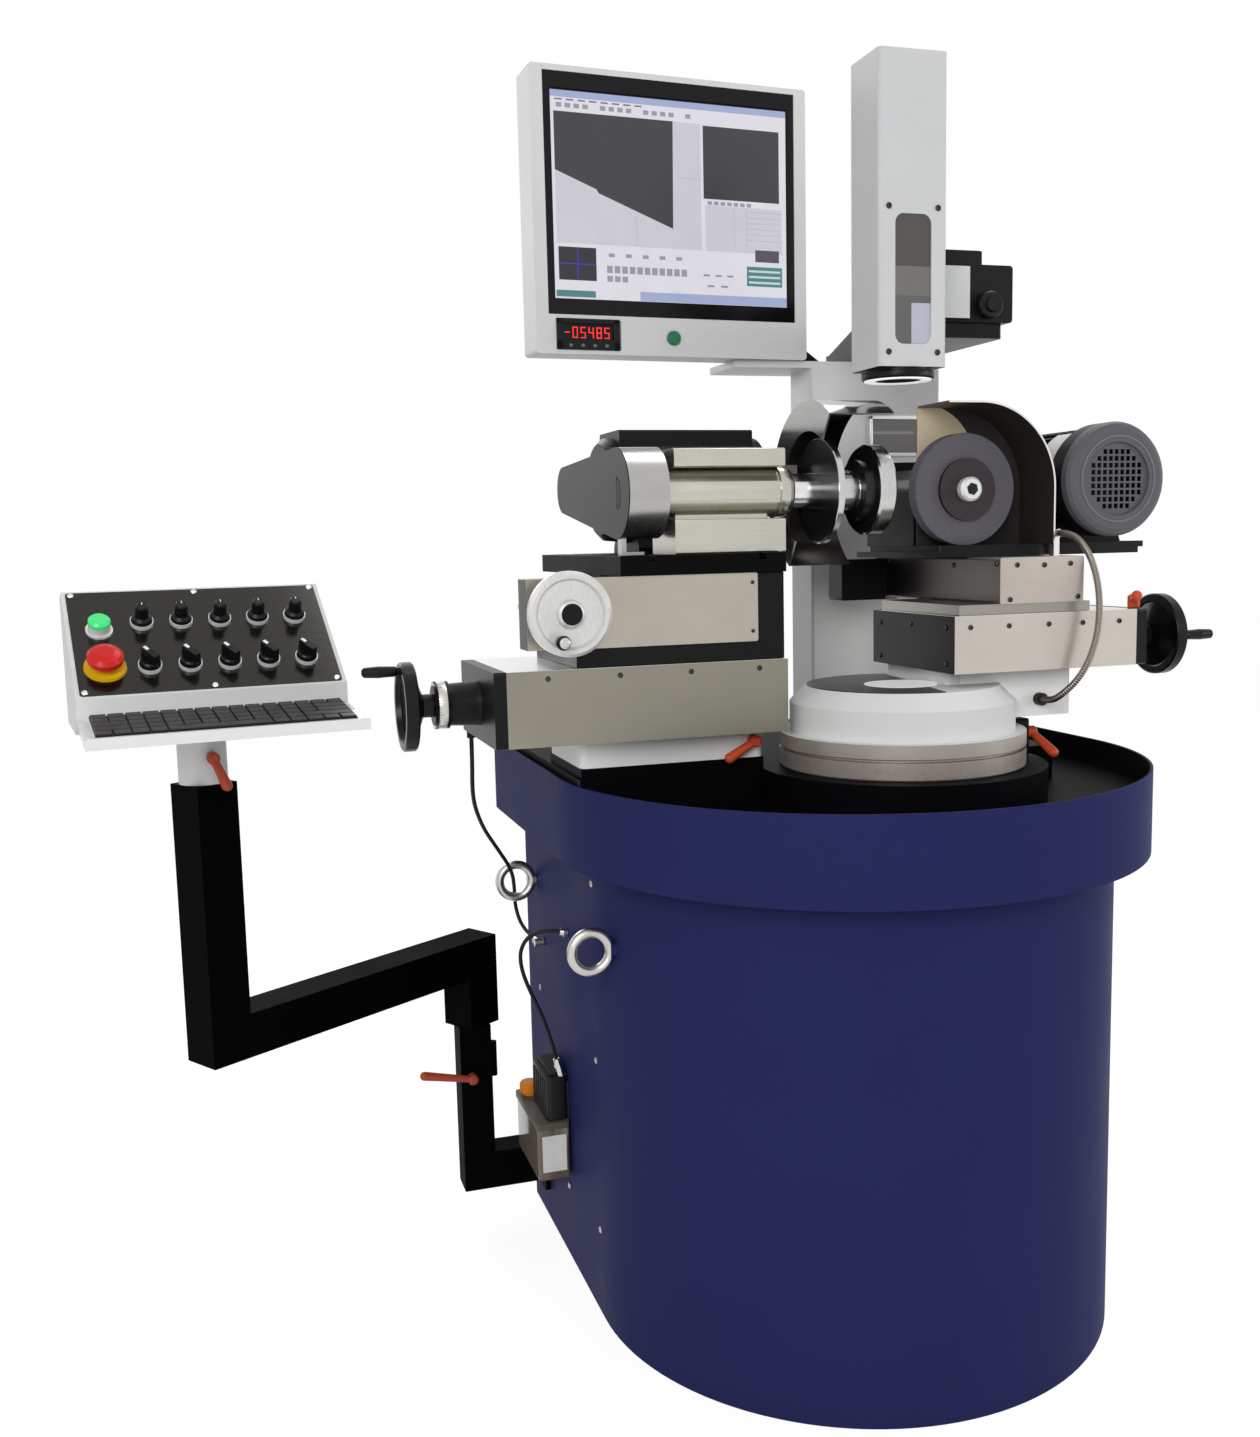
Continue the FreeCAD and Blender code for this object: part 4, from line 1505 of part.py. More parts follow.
nodes = {
    "pedestal": pedestal(),
    "coolant_tray": coolant_tray(),
    "turntable_base": turntable_base(),
    "turntable_disc": turntable_disc(),
    "work_slide_base": work_slide_base(),
    "work_slide_housing": work_slide_housing(),
    "work_crank": work_crank(),
    "work_saddle": work_saddle(),
    "cross_cover": cross_cover(),
    "cross_handwheel": cross_handwheel(),
    "work_table": work_table(),
    "headstock": headstock(),
    "belt_cover": belt_cover(),
    "work_belt": work_belt(),
    "work_motor": work_motor(),
    "work_motor_pulley": work_motor_pulley(),
    "work_spindle": work_spindle(),
    "work_wheel": work_wheel(),
    "work_guard": work_guard(),
    "dress_slide_housing": dress_slide_housing(),
    "dress_handwheel": dress_handwheel(),
    "dress_cross_housing": dress_cross_housing(),
    "dress_head": dress_head(),
    "dress_guard": dress_guard(),
    "dress_motor": dress_motor(),
    "dress_spindle": dress_spindle(),
    "dress_wheel": dress_wheel(),
    "column": column(),
    "camera_arm": camera_arm(),
    "camera_stage": camera_stage(),
    "camera_housing": camera_housing(),
    "camera_knob_x": stage_knob((STAGE_X + STAGE_W, *KNOB_X_AT), X_AXIS, KNOB_X_R),
    "camera_knob_y": stage_knob((KNOB_Y_AT[0], STAGE_Y, KNOB_Y_AT[1]), Y_AXIS * -1, KNOB_Y_R),
    "monitor_housing": monitor_housing(),
    "monitor_screen": monitor_screen(),
    "monitor_button": monitor_button(),
    "arm_post": arm_post(),
    "console_arm": console_arm(),
    "console_box": console_box(),
    "start_button": start_button(),
    "e_stop": e_stop(),
    "lubricator": lubricator(),
    "lube_hose_upper": cord(HOSE_UPPER, HOSE_R, "upper hose"),
    "lube_hose_lower": cord(HOSE_LOWER, HOSE_R, "lower hose"),
    "conduit": cord(CONDUIT, CONDUIT_R, "conduit"),
}

for i in range(ROW_COUNT):
    nodes["speed_knob_%d" % (i + 1)] = panel_knob(*SPEED_PLACES[i], False)
    nodes["selector_%d" % (i + 1)] = panel_knob(*SELECT_PLACES[i], True)

for name, settings in LEVERS.items():
    nodes[name] = lever(*settings)
nodes["neck_lever"] = in_console(lever(NECK_LEVER_AT, Y_AXIS * -1, (0.3, -0.45, -0.84), 40))

os.makedirs("parts", exist_ok=True)
for name, shape in nodes.items():
    shape.exportStep("parts/%s.step" % name)
    if not shape.isValid() or len(shape.Solids) != 1:
        print("look at %s: valid %s, solids %d" % (name, shape.isValid(), len(shape.Solids)))
print("%d nodes" % len(nodes))
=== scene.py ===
"""Looks of an optical tool grinding and wheel truing machine, in metres."""
import bmesh
import bpy
import math
from mathutils import Matrix, Vector


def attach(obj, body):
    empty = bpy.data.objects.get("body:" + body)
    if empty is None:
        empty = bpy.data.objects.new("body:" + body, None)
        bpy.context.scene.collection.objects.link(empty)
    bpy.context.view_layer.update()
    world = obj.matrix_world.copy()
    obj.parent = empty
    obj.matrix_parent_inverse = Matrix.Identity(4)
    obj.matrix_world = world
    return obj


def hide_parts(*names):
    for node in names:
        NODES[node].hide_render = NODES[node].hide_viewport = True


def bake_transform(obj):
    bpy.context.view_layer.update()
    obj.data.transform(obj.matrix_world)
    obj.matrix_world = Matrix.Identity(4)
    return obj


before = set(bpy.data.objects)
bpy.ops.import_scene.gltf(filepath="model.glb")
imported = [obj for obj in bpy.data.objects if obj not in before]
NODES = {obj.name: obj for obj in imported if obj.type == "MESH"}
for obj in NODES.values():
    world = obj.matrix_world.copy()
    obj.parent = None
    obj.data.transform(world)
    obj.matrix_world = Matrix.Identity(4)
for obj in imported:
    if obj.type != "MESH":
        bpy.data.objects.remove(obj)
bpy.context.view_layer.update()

# Camera of the photograph
CAMERA_AT = (-0.893, -1.665, 1.090)
CAMERA_YAW = 17.16
CAMERA_PITCH = 7.33
CAMERA_ROLL = 1.33
CAMERA_LENS = 35.06
SENSOR = 36.0

# Light: name, place, size and power of each lamp
LAMPS = [("key", (-2.0, -3.0, 2.2), 1.6, 64), ("fill", (3.4, -1.5, 1.5), 1.4, 34),
         ("top", (0.9, 0.8, 3.6), 1.8, 36), ("back", (-1.0, 3.2, 2.4), 1.4, 25)]
LAMP_AIM = (-0.2, 0.1, 0.9)
WORLD_LEVEL = 0.42     # of the white surroundings, on matt surfaces
FLOOR_SIZE = 24
FLOOR_GREY = (0.80, 0.80, 0.80, 1)
FLOOR_GLOW = 1.22
FLOOR_GLOW_SHARE = 0.72

# Tray, whose hollow is black
TRAY_AT = (-0.031, 0.117)
TRAY_IN_R = 0.4115
TRAY_BACK = 0.5275
TRAY_FLOOR = 0.7375

# Monitor, in its own frame about the swivel axis
SWIVEL = (-0.012, 0.400)
MONITOR_YAW = 4.1
MONITOR_FRONT = -0.084
GLASS_Y = -0.081
SCREEN_X = (-0.3785, -0.0145)
SCREEN_Z = (1.4260, 1.7060)
CARD_T = 0.00012       # step between the layers of the picture

# Console, in its own frame about the upright's axis
CONSOLE_AT = (-0.89447, 0.21245)
CONSOLE_YAW = 7.8
PANEL_SLOPE = math.radians(38.6)
PANEL_CENTRE = (0.006, -0.041, 0.979)
PANEL_SIZE = (0.316, 0.193)
PANEL_T = 0.0008
ROW_ALONG = [-0.071 + 0.0473 * i for i in range(5)]
SPEED_DOWN = -0.031
SELECT_DOWN = 0.049
START_AT = (-0.122, -0.020)
START_LENS = 0.0125    # where the lit top of the start button begins
STOP_AT = (-0.122, 0.047)
KNOB_TOP = 0.0303      # top of a speed knob above the panel
BAR_TOP = 0.0263       # top of a selector's bar
BAR_TURN = math.radians(35)
SHELF_D = 0.107
SHELF_DROP = 0.014
LIP_DROP = 0.026
KEYS_D = 0.088
KEYS_T = 0.006
CONSOLE_W = 0.320
KEY_COLUMNS = 15
KEY_ROWS = 5
KEY_SPANS = {(1, 13): 2, (2, 0): 2, (2, 13): 2, (3, 0): 2, (3, 12): 3, (4, 4): 6}

# Meter below the screen: left, right, bottom and top
METER_BOX = (-0.3795, -0.2845, 1.3560, 1.3990)
SEGMENTS = {"0": "abcdef", "4": "bcfg", "5": "acdfg", "8": "abcdefg", "-": "g"}

# Display in the column, and the camera's lens
COLUMN_FRONT = 0.325
WINDOW_BOX = (0.118, 0.214, 1.207, 1.269)
WINDOW_RIM = 0.0055
LENS_FOOT = (0, 0.010, 1.2862)

# Dark sheet over the turntable disc, a painted reflection and shade on its white top, with its arc in
# degrees, and the lit patch on it
DISC_TOP = 0.8903
REFLECTION_R = 0.1255
REFLECTION_FROM = 72
REFLECTION_TO = 268
PATCH_AT = (-0.009, -0.016)
PATCH_R = 0.048

# Axes of the turning pieces: the two coordinates across each axis
WORK_AXIS = (0.062, 1.1471)
DRESS_AXIS = (0.095, 1.1444)
CROSS_AXIS = (-0.462, 1.0013)
CRANK_AXIS = (0.1075, 0.884)
MOTOR_AXIS = (0.300, 1.1544)

# Small pieces on the turning parts and covers
DIAL_TICKS = 50
TICK_X = -0.608
TICK_R = 0.0305
NUT_FRONT = -0.0180
SOCKET_R = 0.0084
COWL_FRONT = -0.045
SCREW_H = 0.002
NODE_EDGE = 0.0008     # rounding of the nodes' sharp edges

# Bare plate round the dressing motor: degrees about its axis, and depth
MOTOR_BODY_R = 0.0712
PLATE_ARC = (118, 160)
PLATE_Y = (0.003, 0.044)

# Painted light on the plate inside the dressing hood: its pale part, where light falls in
HOOD_LIT = (0.055, 0.043, 1.181)
HOOD_LIT_R = 0.078

# Lubricator tank on the left wall
LUBE_X = (-0.451, -0.402)
LUBE_Y = (0.278, 0.423)
LUBE_Z = (0.140, 0.218)
TANK_WALL = 0.0025

# Where the finishes change on the nodes
FAR = 9.0
CABINET_LEFT = -0.4003
RING_RIGHT = 0.1645
RING_TOP = 0.8303
RISER_LEFT = 0.060
RISER_FRONT = (-0.0502, -0.0496)
GLAND_R = 0.016
WORK_COVER_TOP = 0.9312
WORK_COVER_LEFT = -0.5351
DIAL_X = (-0.612, -0.594)
DIAL_R = 0.0292
WORK_SCREW_FROM = -0.585
BRACKET_RIGHT = -0.4405
BRACKET_FOOT = 0.956
BRACKET_END = -0.5065
HUB_FRONT = -0.038
HUB_R = 0.0131
HANDLE_FROM_R = 0.019
HANDLE_BACK = -0.0405
HANDLE_END = -0.0625
CROSS_SCREW_FROM = 0.0035
BELT_FACE = -0.3705
FLANGE_X = (-FAR, -0.0905)
FLANGE_R = (-FAR, 0.0670)
WHEEL_FACE_X = (-0.0480, -0.0262)
WHEEL_FACE_R = (0.0270, 0.0572)
GUARD_IN_R = 0.1157
GUARD_IN_X = -0.1034
TROUGH_X = (0.0275, 0.2965)
TROUGH_Y = (-0.0915, 0.1285)
LOWER_LEFT = 0.0262
LOWER_TOP = 0.982
LOWER_RIGHT = 0.2981
DRESS_SCREW_TO = 0.372
STRIP_TOP = 0.9957
UPPER_SHADE_Y = (-0.090, 0.160)
UPPER_LEFT = 0.0912
UPPER_TOP = 1.0545
REAR_BLOCK_X = 0.0905
REAR_BLOCK_Y = 0.210
HOOD_EDGE = -0.0395
HOOD_PLATE_Y = (0.0420, 0.0440)
HOOD_LIT_FROM = 1.186
COWL_BACK = -0.0260
NUT_BACK = -0.0062
NUT_R = 0.0165
WEDGE_X = (0.0355, 0.0785)
WEDGE_Y = (0.3915, 0.4045)
COLUMN_TOP = 1.3501
CAMERA_FOOT = 1.2991
CAMERA_BACK = 0.0512
BEZEL_FROM = 0.0005
STOP_BEZEL_R = 0.0225

# Cords: the same points as the solids, and the lengths of their curves
HOSE_D = 0.006
HOSE_UPPER = [
    (-0.543, 0.203, 0.826), (-0.543, 0.203, 0.792), (-0.540, 0.226, 0.756),
    (-0.532, 0.262, 0.726), (-0.519, 0.304, 0.698), (-0.500, 0.352, 0.664),
    (-0.473, 0.404, 0.626), (-0.441, 0.446, 0.578), (-0.431, 0.478, 0.540),
    (-0.428, 0.495, 0.515), (-0.424, 0.488, 0.487), (-0.418, 0.460, 0.472),
    (-0.411, 0.428, 0.467)]
HOSE_LOWER = [
    (-0.417, 0.290, 0.322), (-0.424, 0.290, 0.353), (-0.437, 0.290, 0.393),
    (-0.454, 0.289, 0.432), (-0.466, 0.287, 0.466), (-0.468, 0.285, 0.496),
    (-0.454, 0.281, 0.519), (-0.429, 0.275, 0.525), (-0.410, 0.270, 0.522)]
CONDUIT_D = 0.009
CONDUIT_SIDES = 14
RIB_PITCH = 0.0032
RIB_STEPS = 4          # rings of points to a rib
RIB_LOW = 0.86         # radius between the ribs, as a share
CONDUIT = [
    (0.218, -0.032, 1.084), (0.218, -0.058, 1.084), (0.221, -0.084, 1.069),
    (0.223, -0.104, 1.041), (0.224, -0.115, 1.004), (0.221, -0.119, 0.964),
    (0.212, -0.118, 0.927), (0.198, -0.111, 0.896), (0.184, -0.096, 0.875),
    (0.178, -0.080, 0.865), (0.178, -0.060, 0.865)]


def srgb(red, green, blue):
    """Linear colour from the usual 0 to 255 values."""
    def straight(value):
        share = value / 255
        return share / 12.92 if share <= 0.04045 else ((share + 0.055) / 1.055) ** 2.4
    return (straight(red), straight(green), straight(blue), 1.0)


class Graph:
    """A tree of shader nodes."""

    def __init__(self, tree):
        self.tree = tree

    def add(self, kind, sources=(), **settings):
        """New node with its settings, and its inputs by name or number."""
        node = self.tree.nodes.new(kind)
        for key, value in settings.items():
            setattr(node, key, value)
        for key, source in dict(sources).items():
            self.feed(source, node.inputs[key])
        return node

    def feed(self, source, socket):
        """Links a node's output, or sets a plain value."""
        if isinstance(source, bpy.types.NodeSocket):
            self.tree.links.new(source, socket)
        else:
            socket.default_value = source

    def math(self, operation, first, second=0.0):
        return self.add("ShaderNodeMath", {0: first, 1: second}, operation=operation).outputs[0]

    def seen_directly(self):
        """1 for what the camera sees, straight or by way of metal and glass."""
        path = self.add("ShaderNodeLightPath").outputs
        seen = path["Is Camera Ray"]
        for ray in ("Is Glossy Ray", "Is Transmission Ray"):
            seen = self.math("MAXIMUM", seen, path[ray])
        return seen


class Surface(Graph):
    """A procedural material: colour, roughness and metal, varied over object space."""

    def __init__(self, name, color, rough, metal=0.0, shine=0.5):
        self.mat = bpy.data.materials.new(name)
        self.mat.use_nodes = True
        super().__init__(self.mat.node_tree)
        self.bsdf = self.tree.nodes["Principled BSDF"]
        self.place = self.add("ShaderNodeTexCoord").outputs["Object"]
        self.color = color
        self.rough = rough
        self.metal = metal
        self.set(Specular_IOR_Level=shine)
        self.update()

    def set(self, **sockets):
        """Sets or links the shader's sockets, named with underscores for spaces."""
        for key, source in sockets.items():
            self.feed(source, self.bsdf.inputs[key.replace("_", " ")])
        return self

    def update(self):
        return self.set(Base_Color=self.color, Roughness=self.rough, Metallic=self.metal)

    def noise(self, scale, stretch=(1, 1, 1), detail=4.0, spread=0.5):
        """Noise from 0 to 1, stretched along an axis where its share is small."""
        mapped = self.add("ShaderNodeMapping", {"Vector": self.place, "Scale": stretch}).outputs[0]
        texture = self.add("ShaderNodeTexNoise", {"Vector": mapped, "Scale": scale, "Detail": detail})
        return self.rise(texture.outputs[0], 0.5 - spread / 2, 0.5 + spread / 2)

    def rise(self, value, low, high, kind="LINEAR"):
        """Rises from 0 to 1 while a value goes from low to high."""
        ends = {"Value": value, "From Min": low, "From Max": high}
        return self.add("ShaderNodeMapRange", ends, interpolation_type=kind).outputs[0]

    def mix(self, share, low, high, kind="RGBA"):
        offset = {"FLOAT": 2, "RGBA": 6}[kind]
        node = self.add("ShaderNodeMix", {0: share, offset: low, offset + 1: high}, data_type=kind)
        return node.outputs[{"FLOAT": 0, "RGBA": 2}[kind]]

    def vary(self, share, amount, rough_amount=0.0):
        """Lightens and darkens the plain colour by a share, and its roughness."""
        low = [c * (1 - amount) for c in self.color[:3]] + [1.0]
        high = [min(c * (1 + amount), 1.0) for c in self.color[:3]] + [1.0]
        if rough_amount:
            self.rough = self.mix(share, max(self.rough - rough_amount, 0.02),
                                  self.rough + rough_amount, "FLOAT")
        self.color = self.mix(share, low, high)
        return self.update()

    def over(self, mask, color, rough=None, metal=None):
        """Another finish where the mask is 1."""
        self.color = self.mix(mask, self.color, color)
        if rough is not None:
            self.rough = self.mix(mask, self.rough, rough, "FLOAT")
        if metal is not None:
            self.metal = self.mix(mask, self.metal, metal, "FLOAT")
        return self.update()

    def zone(self, color, rough=None, metal=None, about=None, **ranges):
        """Another finish inside ranges along x, y or z, and between radii about an axis."""
        masks = [self.within(axis, *ends) for axis, ends in ranges.items()]
        if about:
            axis, centre, low, high = about
            masks.append(self.within(axis, low, high, centre))
        return self.over(self.both(*masks), color, rough, metal)

    def bump(self, height, strength, distance=0.0004):
        sources = {"Height": height, "Strength": strength, "Distance": distance}
        return self.set(Normal=self.add("ShaderNodeBump", sources).outputs[0])

    def coordinates(self):
        return dict(zip("xyz", self.add("ShaderNodeSeparateXYZ", {0: self.place}).outputs))

    def within(self, axis, low=-FAR, high=FAR, near=None):
        """Mask of 1 between two places along x, y or z, or radii about an axis."""
        others = self.coordinates()
        value = others.pop(axis)
        if near is not None:
            offsets = [self.math("SUBTRACT", o, c) for o, c in zip(others.values(), near)]
            squares = [self.math("MULTIPLY", o, o) for o in offsets]
            value = self.math("SQRT", self.math("ADD", *squares))
        return self.between(value, low, high)

    def between(self, value, low, high):
        above = self.math("GREATER_THAN", value, low)
        below = self.math("LESS_THAN", value, high)
        return self.math("MULTIPLY", above, below)

    def vector(self, operation, first, second, output):
        node = self.add("ShaderNodeVectorMath", {0: first, 1: second}, operation=operation)
        return node.outputs[output]

    def along(self, point, direction, low):
        """Mask of 1 beyond a distance from a point along a direction."""
        offset = self.vector("SUBTRACT", self.place, point, "Vector")
        return self.between(self.vector("DOT_PRODUCT", offset, direction, "Value"), low, FAR)

    def near(self, point, radius):
        """Mask of 1 inside a ball."""
        return self.math("LESS_THAN", self.vector("DISTANCE", self.place, point, "Value"), radius)

    def ramp(self, axis, low, high):
        """Rises from 0 to 1 between two places along x, y or z."""
        return self.rise(self.coordinates()[axis], low, high, "SMOOTHSTEP")

    def both(self, first, *others):
        """Mask of 1 where every mask is 1."""
        for other in others:
            first = self.math("MULTIPLY", first, other)
        return first


# Finishes
NAVY = srgb(40, 43, 88)
WHITE = srgb(222, 223, 222)
BLACK = srgb(15, 15, 17)
DEEP_BLACK = srgb(9, 9, 10)
STAINLESS = srgb(139, 135, 123)
# Painted shade on the dark left end face of the dressing slide
PAINTED_SHADE_STEEL = srgb(21, 20, 23)
STEEL = srgb(196, 193, 188)
BRIGHT = srgb(226, 226, 226)
ORANGE = srgb(206, 82, 46)
DARK_ORANGE = srgb(170, 72, 48)
YELLOW = srgb(222, 176, 20)


def powder_coat(name, color, rough=0.45, shine=0.14):
    """Sprayed and baked paint with a fine orange peel."""
    surface = Surface(name, color, rough, shine=shine)
    surface.vary(surface.noise(7, detail=5), 0.045, 0.05)
    return surface.bump(surface.noise(650, detail=2), 0.10)


def brushed(name, color, along="x", rough=0.34, metal=0.95):
    """Sheet metal with fine lines along one axis."""
    surface = Surface(name, color, rough, metal, 0.15)
    stretch = [0.02 if a == along else 1.0 for a in "xyz"]
    lines = surface.noise(900, stretch, detail=6, spread=0.7)
    clouds = surface.noise(9, detail=3)
    surface.vary(surface.math("MULTIPLY", surface.math("ADD", lines, clouds), 0.5), 0.10, 0.08)
    return surface.bump(lines, 0.05, 0.0002)


def turned_metal(name, color, rough=0.24, metal=1.0):
    """Machined metal with faint tool marks."""
    surface = Surface(name, color, rough, metal, 0.15)
    marks = surface.noise(420, (1.0, 0.3, 0.3), detail=5)
    surface.vary(marks, 0.08, 0.06)
    return surface.bump(marks, 0.04, 0.0002)


def moulded(name, color, rough=0.38):
    """Plastic with a fine moulded grain."""
    surface = Surface(name, color, rough, shine=0.2)
    surface.vary(surface.noise(40, detail=3), 0.06, 0.05)
    return surface.bump(surface.noise(1400, detail=2), 0.08, 0.0002)


def lit(name, color, strength):
    """Lit plastic."""
    surface = Surface(name, color, 0.3)
    surface.vary(surface.noise(60, detail=2), 0.03)
    return surface.set(Emission_Color=surface.color, Emission_Strength=strength)


def display(name, color, strength=0.92):
    """Colour of a lit screen."""
    surface = Surface(name, (0.01, 0.01, 0.01, 1.0), 0.3)
    low = [c * 0.95 for c in color[:3]] + [1.0]
    glow = surface.mix(surface.noise(30, detail=2), low, color)
    return surface.set(Emission_Color=glow, Emission_Strength=strength)


def dress(node, finish, *settings):
    """Gives a node a finish, with a material named after it."""
    surface = finish(node, *settings)
    mesh = NODES[node].data
    mesh.materials.clear()
    mesh.materials.append(surface.mat)
    return surface


# Mesh building
LEVEL = Matrix.Identity(4)
QUARTER = math.pi / 2


def placed(place, angle, axis="X"):
    """Frame at a place, turned about one axis."""
    return Matrix.Translation(place) @ Matrix.Rotation(angle, 4, axis)


def lathe(bm, profile, base, axis, segments):
    """Turned shape from (along, radius) points."""
    axis = Vector(axis).normalized()
    side = axis.orthogonal().normalized()
    across = axis.cross(side)
    rings = []
    for along, radius in profile:
        middle = Vector(base) + axis * along
        if radius < 1e-7:
            rings.append([bm.verts.new(middle)])
            continue
        ring = []
        for i in range(segments):
            angle = 2 * math.pi * i / segments
            spoke = side * math.cos(angle) + across * math.sin(angle)
            ring.append(bm.verts.new(middle + spoke * radius))
        rings.append(ring)
    for low, high in zip(rings, rings[1:]):
        for i in range(segments):
            j = (i + 1) % segments
            corners = [low[i % len(low)], low[j % len(low)], high[j % len(high)], high[i % len(high)]]
            unique = list(dict.fromkeys(corners))
            if len(unique) > 2:
                bm.faces.new(unique)


def block(bm, low, high, place=LEVEL):
    """Box between two corners."""
    corners = [Vector((x, y, z)) for z in (low[2], high[2]) for y in (low[1], high[1])
               for x in (low[0], high[0])]
    v = [bm.verts.new(place @ c) for c in corners]
    for face in ((0, 2, 3, 1), (4, 5, 7, 6), (0, 1, 5, 4), (2, 6, 7, 3), (0, 4, 6, 2), (1, 3, 7, 5)):
        bm.faces.new([v[i] for i in face])


def four_bars(bm, box, rims, low, high, place):
    """Bars round a rectangle; rims are the bottom, top and side widths."""
    x0, x1, z0, z1 = box
    bottom, top, side = rims
    for a, b in (((x0, z0), (x1, z0 + bottom)), ((x0, z1 - top), (x1, z1)),
                 ((x0, z0), (x0 + side, z1)), ((x1 - side, z0), (x1, z1))):
        block(bm, (*a, low), (*b, high), place)


def slab(bm, outline, low, high, place=LEVEL):
    """Flat plate with an outline in xy, between two heights in z."""
    bottom = [bm.verts.new(place @ Vector((x, y, low))) for x, y in outline]
    top = [bm.verts.new(place @ Vector((x, y, high))) for x, y in outline]
    bm.faces.new(list(reversed(bottom)))
    bm.faces.new(top)
    count = len(outline)
    for i in range(count):
        j = (i + 1) % count
        bm.faces.new((bottom[i], bottom[j], top[j], top[i]))


def round_rect(x0, x1, y0, y1, radius, inset=0.0):
    """Corner points of a rectangle with round corners, drawn in by an inset."""
    x0, x1, y0, y1 = x0 + inset, x1 - inset, y0 + inset, y1 - inset
    points = []
    centres = [(x1 - radius, y1 - radius), (x0 + radius, y1 - radius),
               (x0 + radius, y0 + radius), (x1 - radius, y0 + radius)]
    for quarter, (cx, cy) in enumerate(centres):
        for i in range(6):
            angle = QUARTER * (quarter + i / 5)
            points.append((cx + radius * math.cos(angle), cy + radius * math.sin(angle)))
    return points


def add_object(name, data):
    """New object in the scene."""
    obj = bpy.data.objects.new(name, data)
    bpy.context.scene.collection.objects.link(obj)
    return obj


def new_solid(name, build, look, smooth=30):
    """New mesh object; build fills a bmesh."""
    bm = bmesh.new()
    build(bm)
    bmesh.ops.recalc_face_normals(bm, faces=bm.faces)
    mesh = bpy.data.meshes.new(name)
    bm.to_mesh(mesh)
    bm.free()
    mesh.materials.append(look.mat)
    mesh.shade_smooth()
    mesh.set_sharp_from_angle(angle=math.radians(smooth))
    return add_object(name, mesh)


def round_off(obj, width, harden=False):
    """Rounds sharp edges without a change to the mesh."""
    edges = obj.modifiers.new("edges", "BEVEL")
    edges.width = width
    edges.segments = 2
    edges.limit_method = "ANGLE"
    edges.angle_limit = math.radians(40)
    edges.harden_normals = harden


def piece(name, body, build, look, bevel=0.0):
    """A new mesh piece that rides on a body."""
    obj = new_solid(name, build, look)
    if bevel:
        round_off(obj, bevel)
    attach(obj, body)
    return obj


def box_piece(name, body, low, high, look, bevel=0.0, place=LEVEL):
    """A piece that is one box."""
    piece(name, body, lambda bm: block(bm, low, high, place), look, bevel)


def sheet_piece(name, body, outline, low, high, look, bevel=0.0, place=LEVEL):
    """A piece that is one flat plate."""
    piece(name, body, lambda bm: slab(bm, outline, low, high, place), look, bevel)


def turned_piece(name, body, profile, base, axis, segments, look):
    """A piece that is one turned shape."""
    piece(name, body, lambda bm: lathe(bm, profile, base, axis, segments), look)


def screws(name, body, places, outward, look, radius=0.0035):
    """Round-headed screws with a socket, all facing one way."""
    profile = [(-0.0003, radius), (SCREW_H * 0.4, radius), (SCREW_H, radius * 0.72),
               (SCREW_H, radius * 0.42), (SCREW_H * 0.3, radius * 0.38), (SCREW_H * 0.3, 0)]

    def build(bm):
        for place in places:
            lathe(bm, profile, place, outward, 12)
    piece(name, body, build, look)


# Frames of the turned groups
MONITOR = placed((*SWIVEL, 0), math.radians(MONITOR_YAW), "Z")
SCREEN = MONITOR @ placed((0, GLASS_Y, 0), QUARTER)
CONSOLE = placed((*CONSOLE_AT, 0), math.radians(CONSOLE_YAW), "Z")
PANEL = CONSOLE @ placed(PANEL_CENTRE, PANEL_SLOPE)
PANEL_OUT = (PANEL.to_3x3() @ Vector((0, 0, 1))).normalized()


def on_panel(along, down, out=0.0):
    """Point of the console's panel in the shared frame."""
    return PANEL @ Vector((along, -down, out))


def make_camera():
    """Camera at the photograph's place and angle."""
    data = bpy.data.cameras.new("camera")
    data.sensor_width = SENSOR
    data.lens = CAMERA_LENS
    camera = add_object("camera", data)
    pitch = Matrix.Rotation(math.radians(90 - CAMERA_PITCH), 4, "X")
    roll = Matrix.Rotation(math.radians(-CAMERA_ROLL), 4, "Z")
    camera.matrix_world = placed(CAMERA_AT, math.radians(-CAMERA_YAW), "Z") @ pitch @ roll
    bpy.context.scene.camera = camera


def make_light():
    """White surroundings and four soft lamps."""
    scene = bpy.context.scene
    scene.view_settings.view_transform = "Standard"
    scene.world = bpy.data.worlds.new("studio")
    scene.world.use_nodes = True
    studio = Graph(scene.world.node_tree)
    background = studio.tree.nodes["Background"].inputs
    ends = {"Value": studio.seen_directly(), "To Min": WORLD_LEVEL, "To Max": 1.0}
    studio.feed(studio.add("ShaderNodeMapRange", ends).outputs[0], background["Strength"])
    studio.feed((1, 1, 1, 1), background["Color"])
    for name, place, size, power in LAMPS:
        data = bpy.data.lights.new(name, "AREA")
        data.size = size
        data.energy = power
        aim = Vector(LAMP_AIM) - Vector(place)
        turn = aim.to_track_quat("-Z", "Y").to_matrix().to_4x4()
        add_object(name, data).matrix_world = Matrix.Translation(place) @ turn


def make_floor():
    """Pale floor that keeps a light shadow."""
    pale = Surface("floor", FLOOR_GREY, 0.9)
    glow = pale.add("ShaderNodeEmission", {"Strength": FLOOR_GLOW}).outputs[0]
    share = pale.math("MULTIPLY", pale.seen_directly(), FLOOR_GLOW_SHARE)
    both = pale.add("ShaderNodeMixShader", {"Fac": share, 1: pale.bsdf.outputs[0], 2: glow})
    pale.feed(both.outputs[0], pale.tree.nodes["Material Output"].inputs["Surface"])
    half = FLOOR_SIZE / 2

    def build(bm):
        block(bm, (-half, -half, -0.02), (half, half, 0))
    new_solid("floor", build, pale)


def route_curve(name, points, thickness):
    """Open NURBS curve with the route's points."""
    data = bpy.data.curves.new(name, "CURVE")
    data.dimensions = "3D"
    data.resolution_u = 16
    data.bevel_depth = thickness / 2
    data.bevel_resolution = 4
    spline = data.splines.new("NURBS")
    spline.points.add(len(points) - 1)
    for point, place in zip(spline.points, points):
        point.co = (*place, 1.0)
    spline.order_u = 3
    spline.use_endpoint_u = True
    return add_object(name, data)


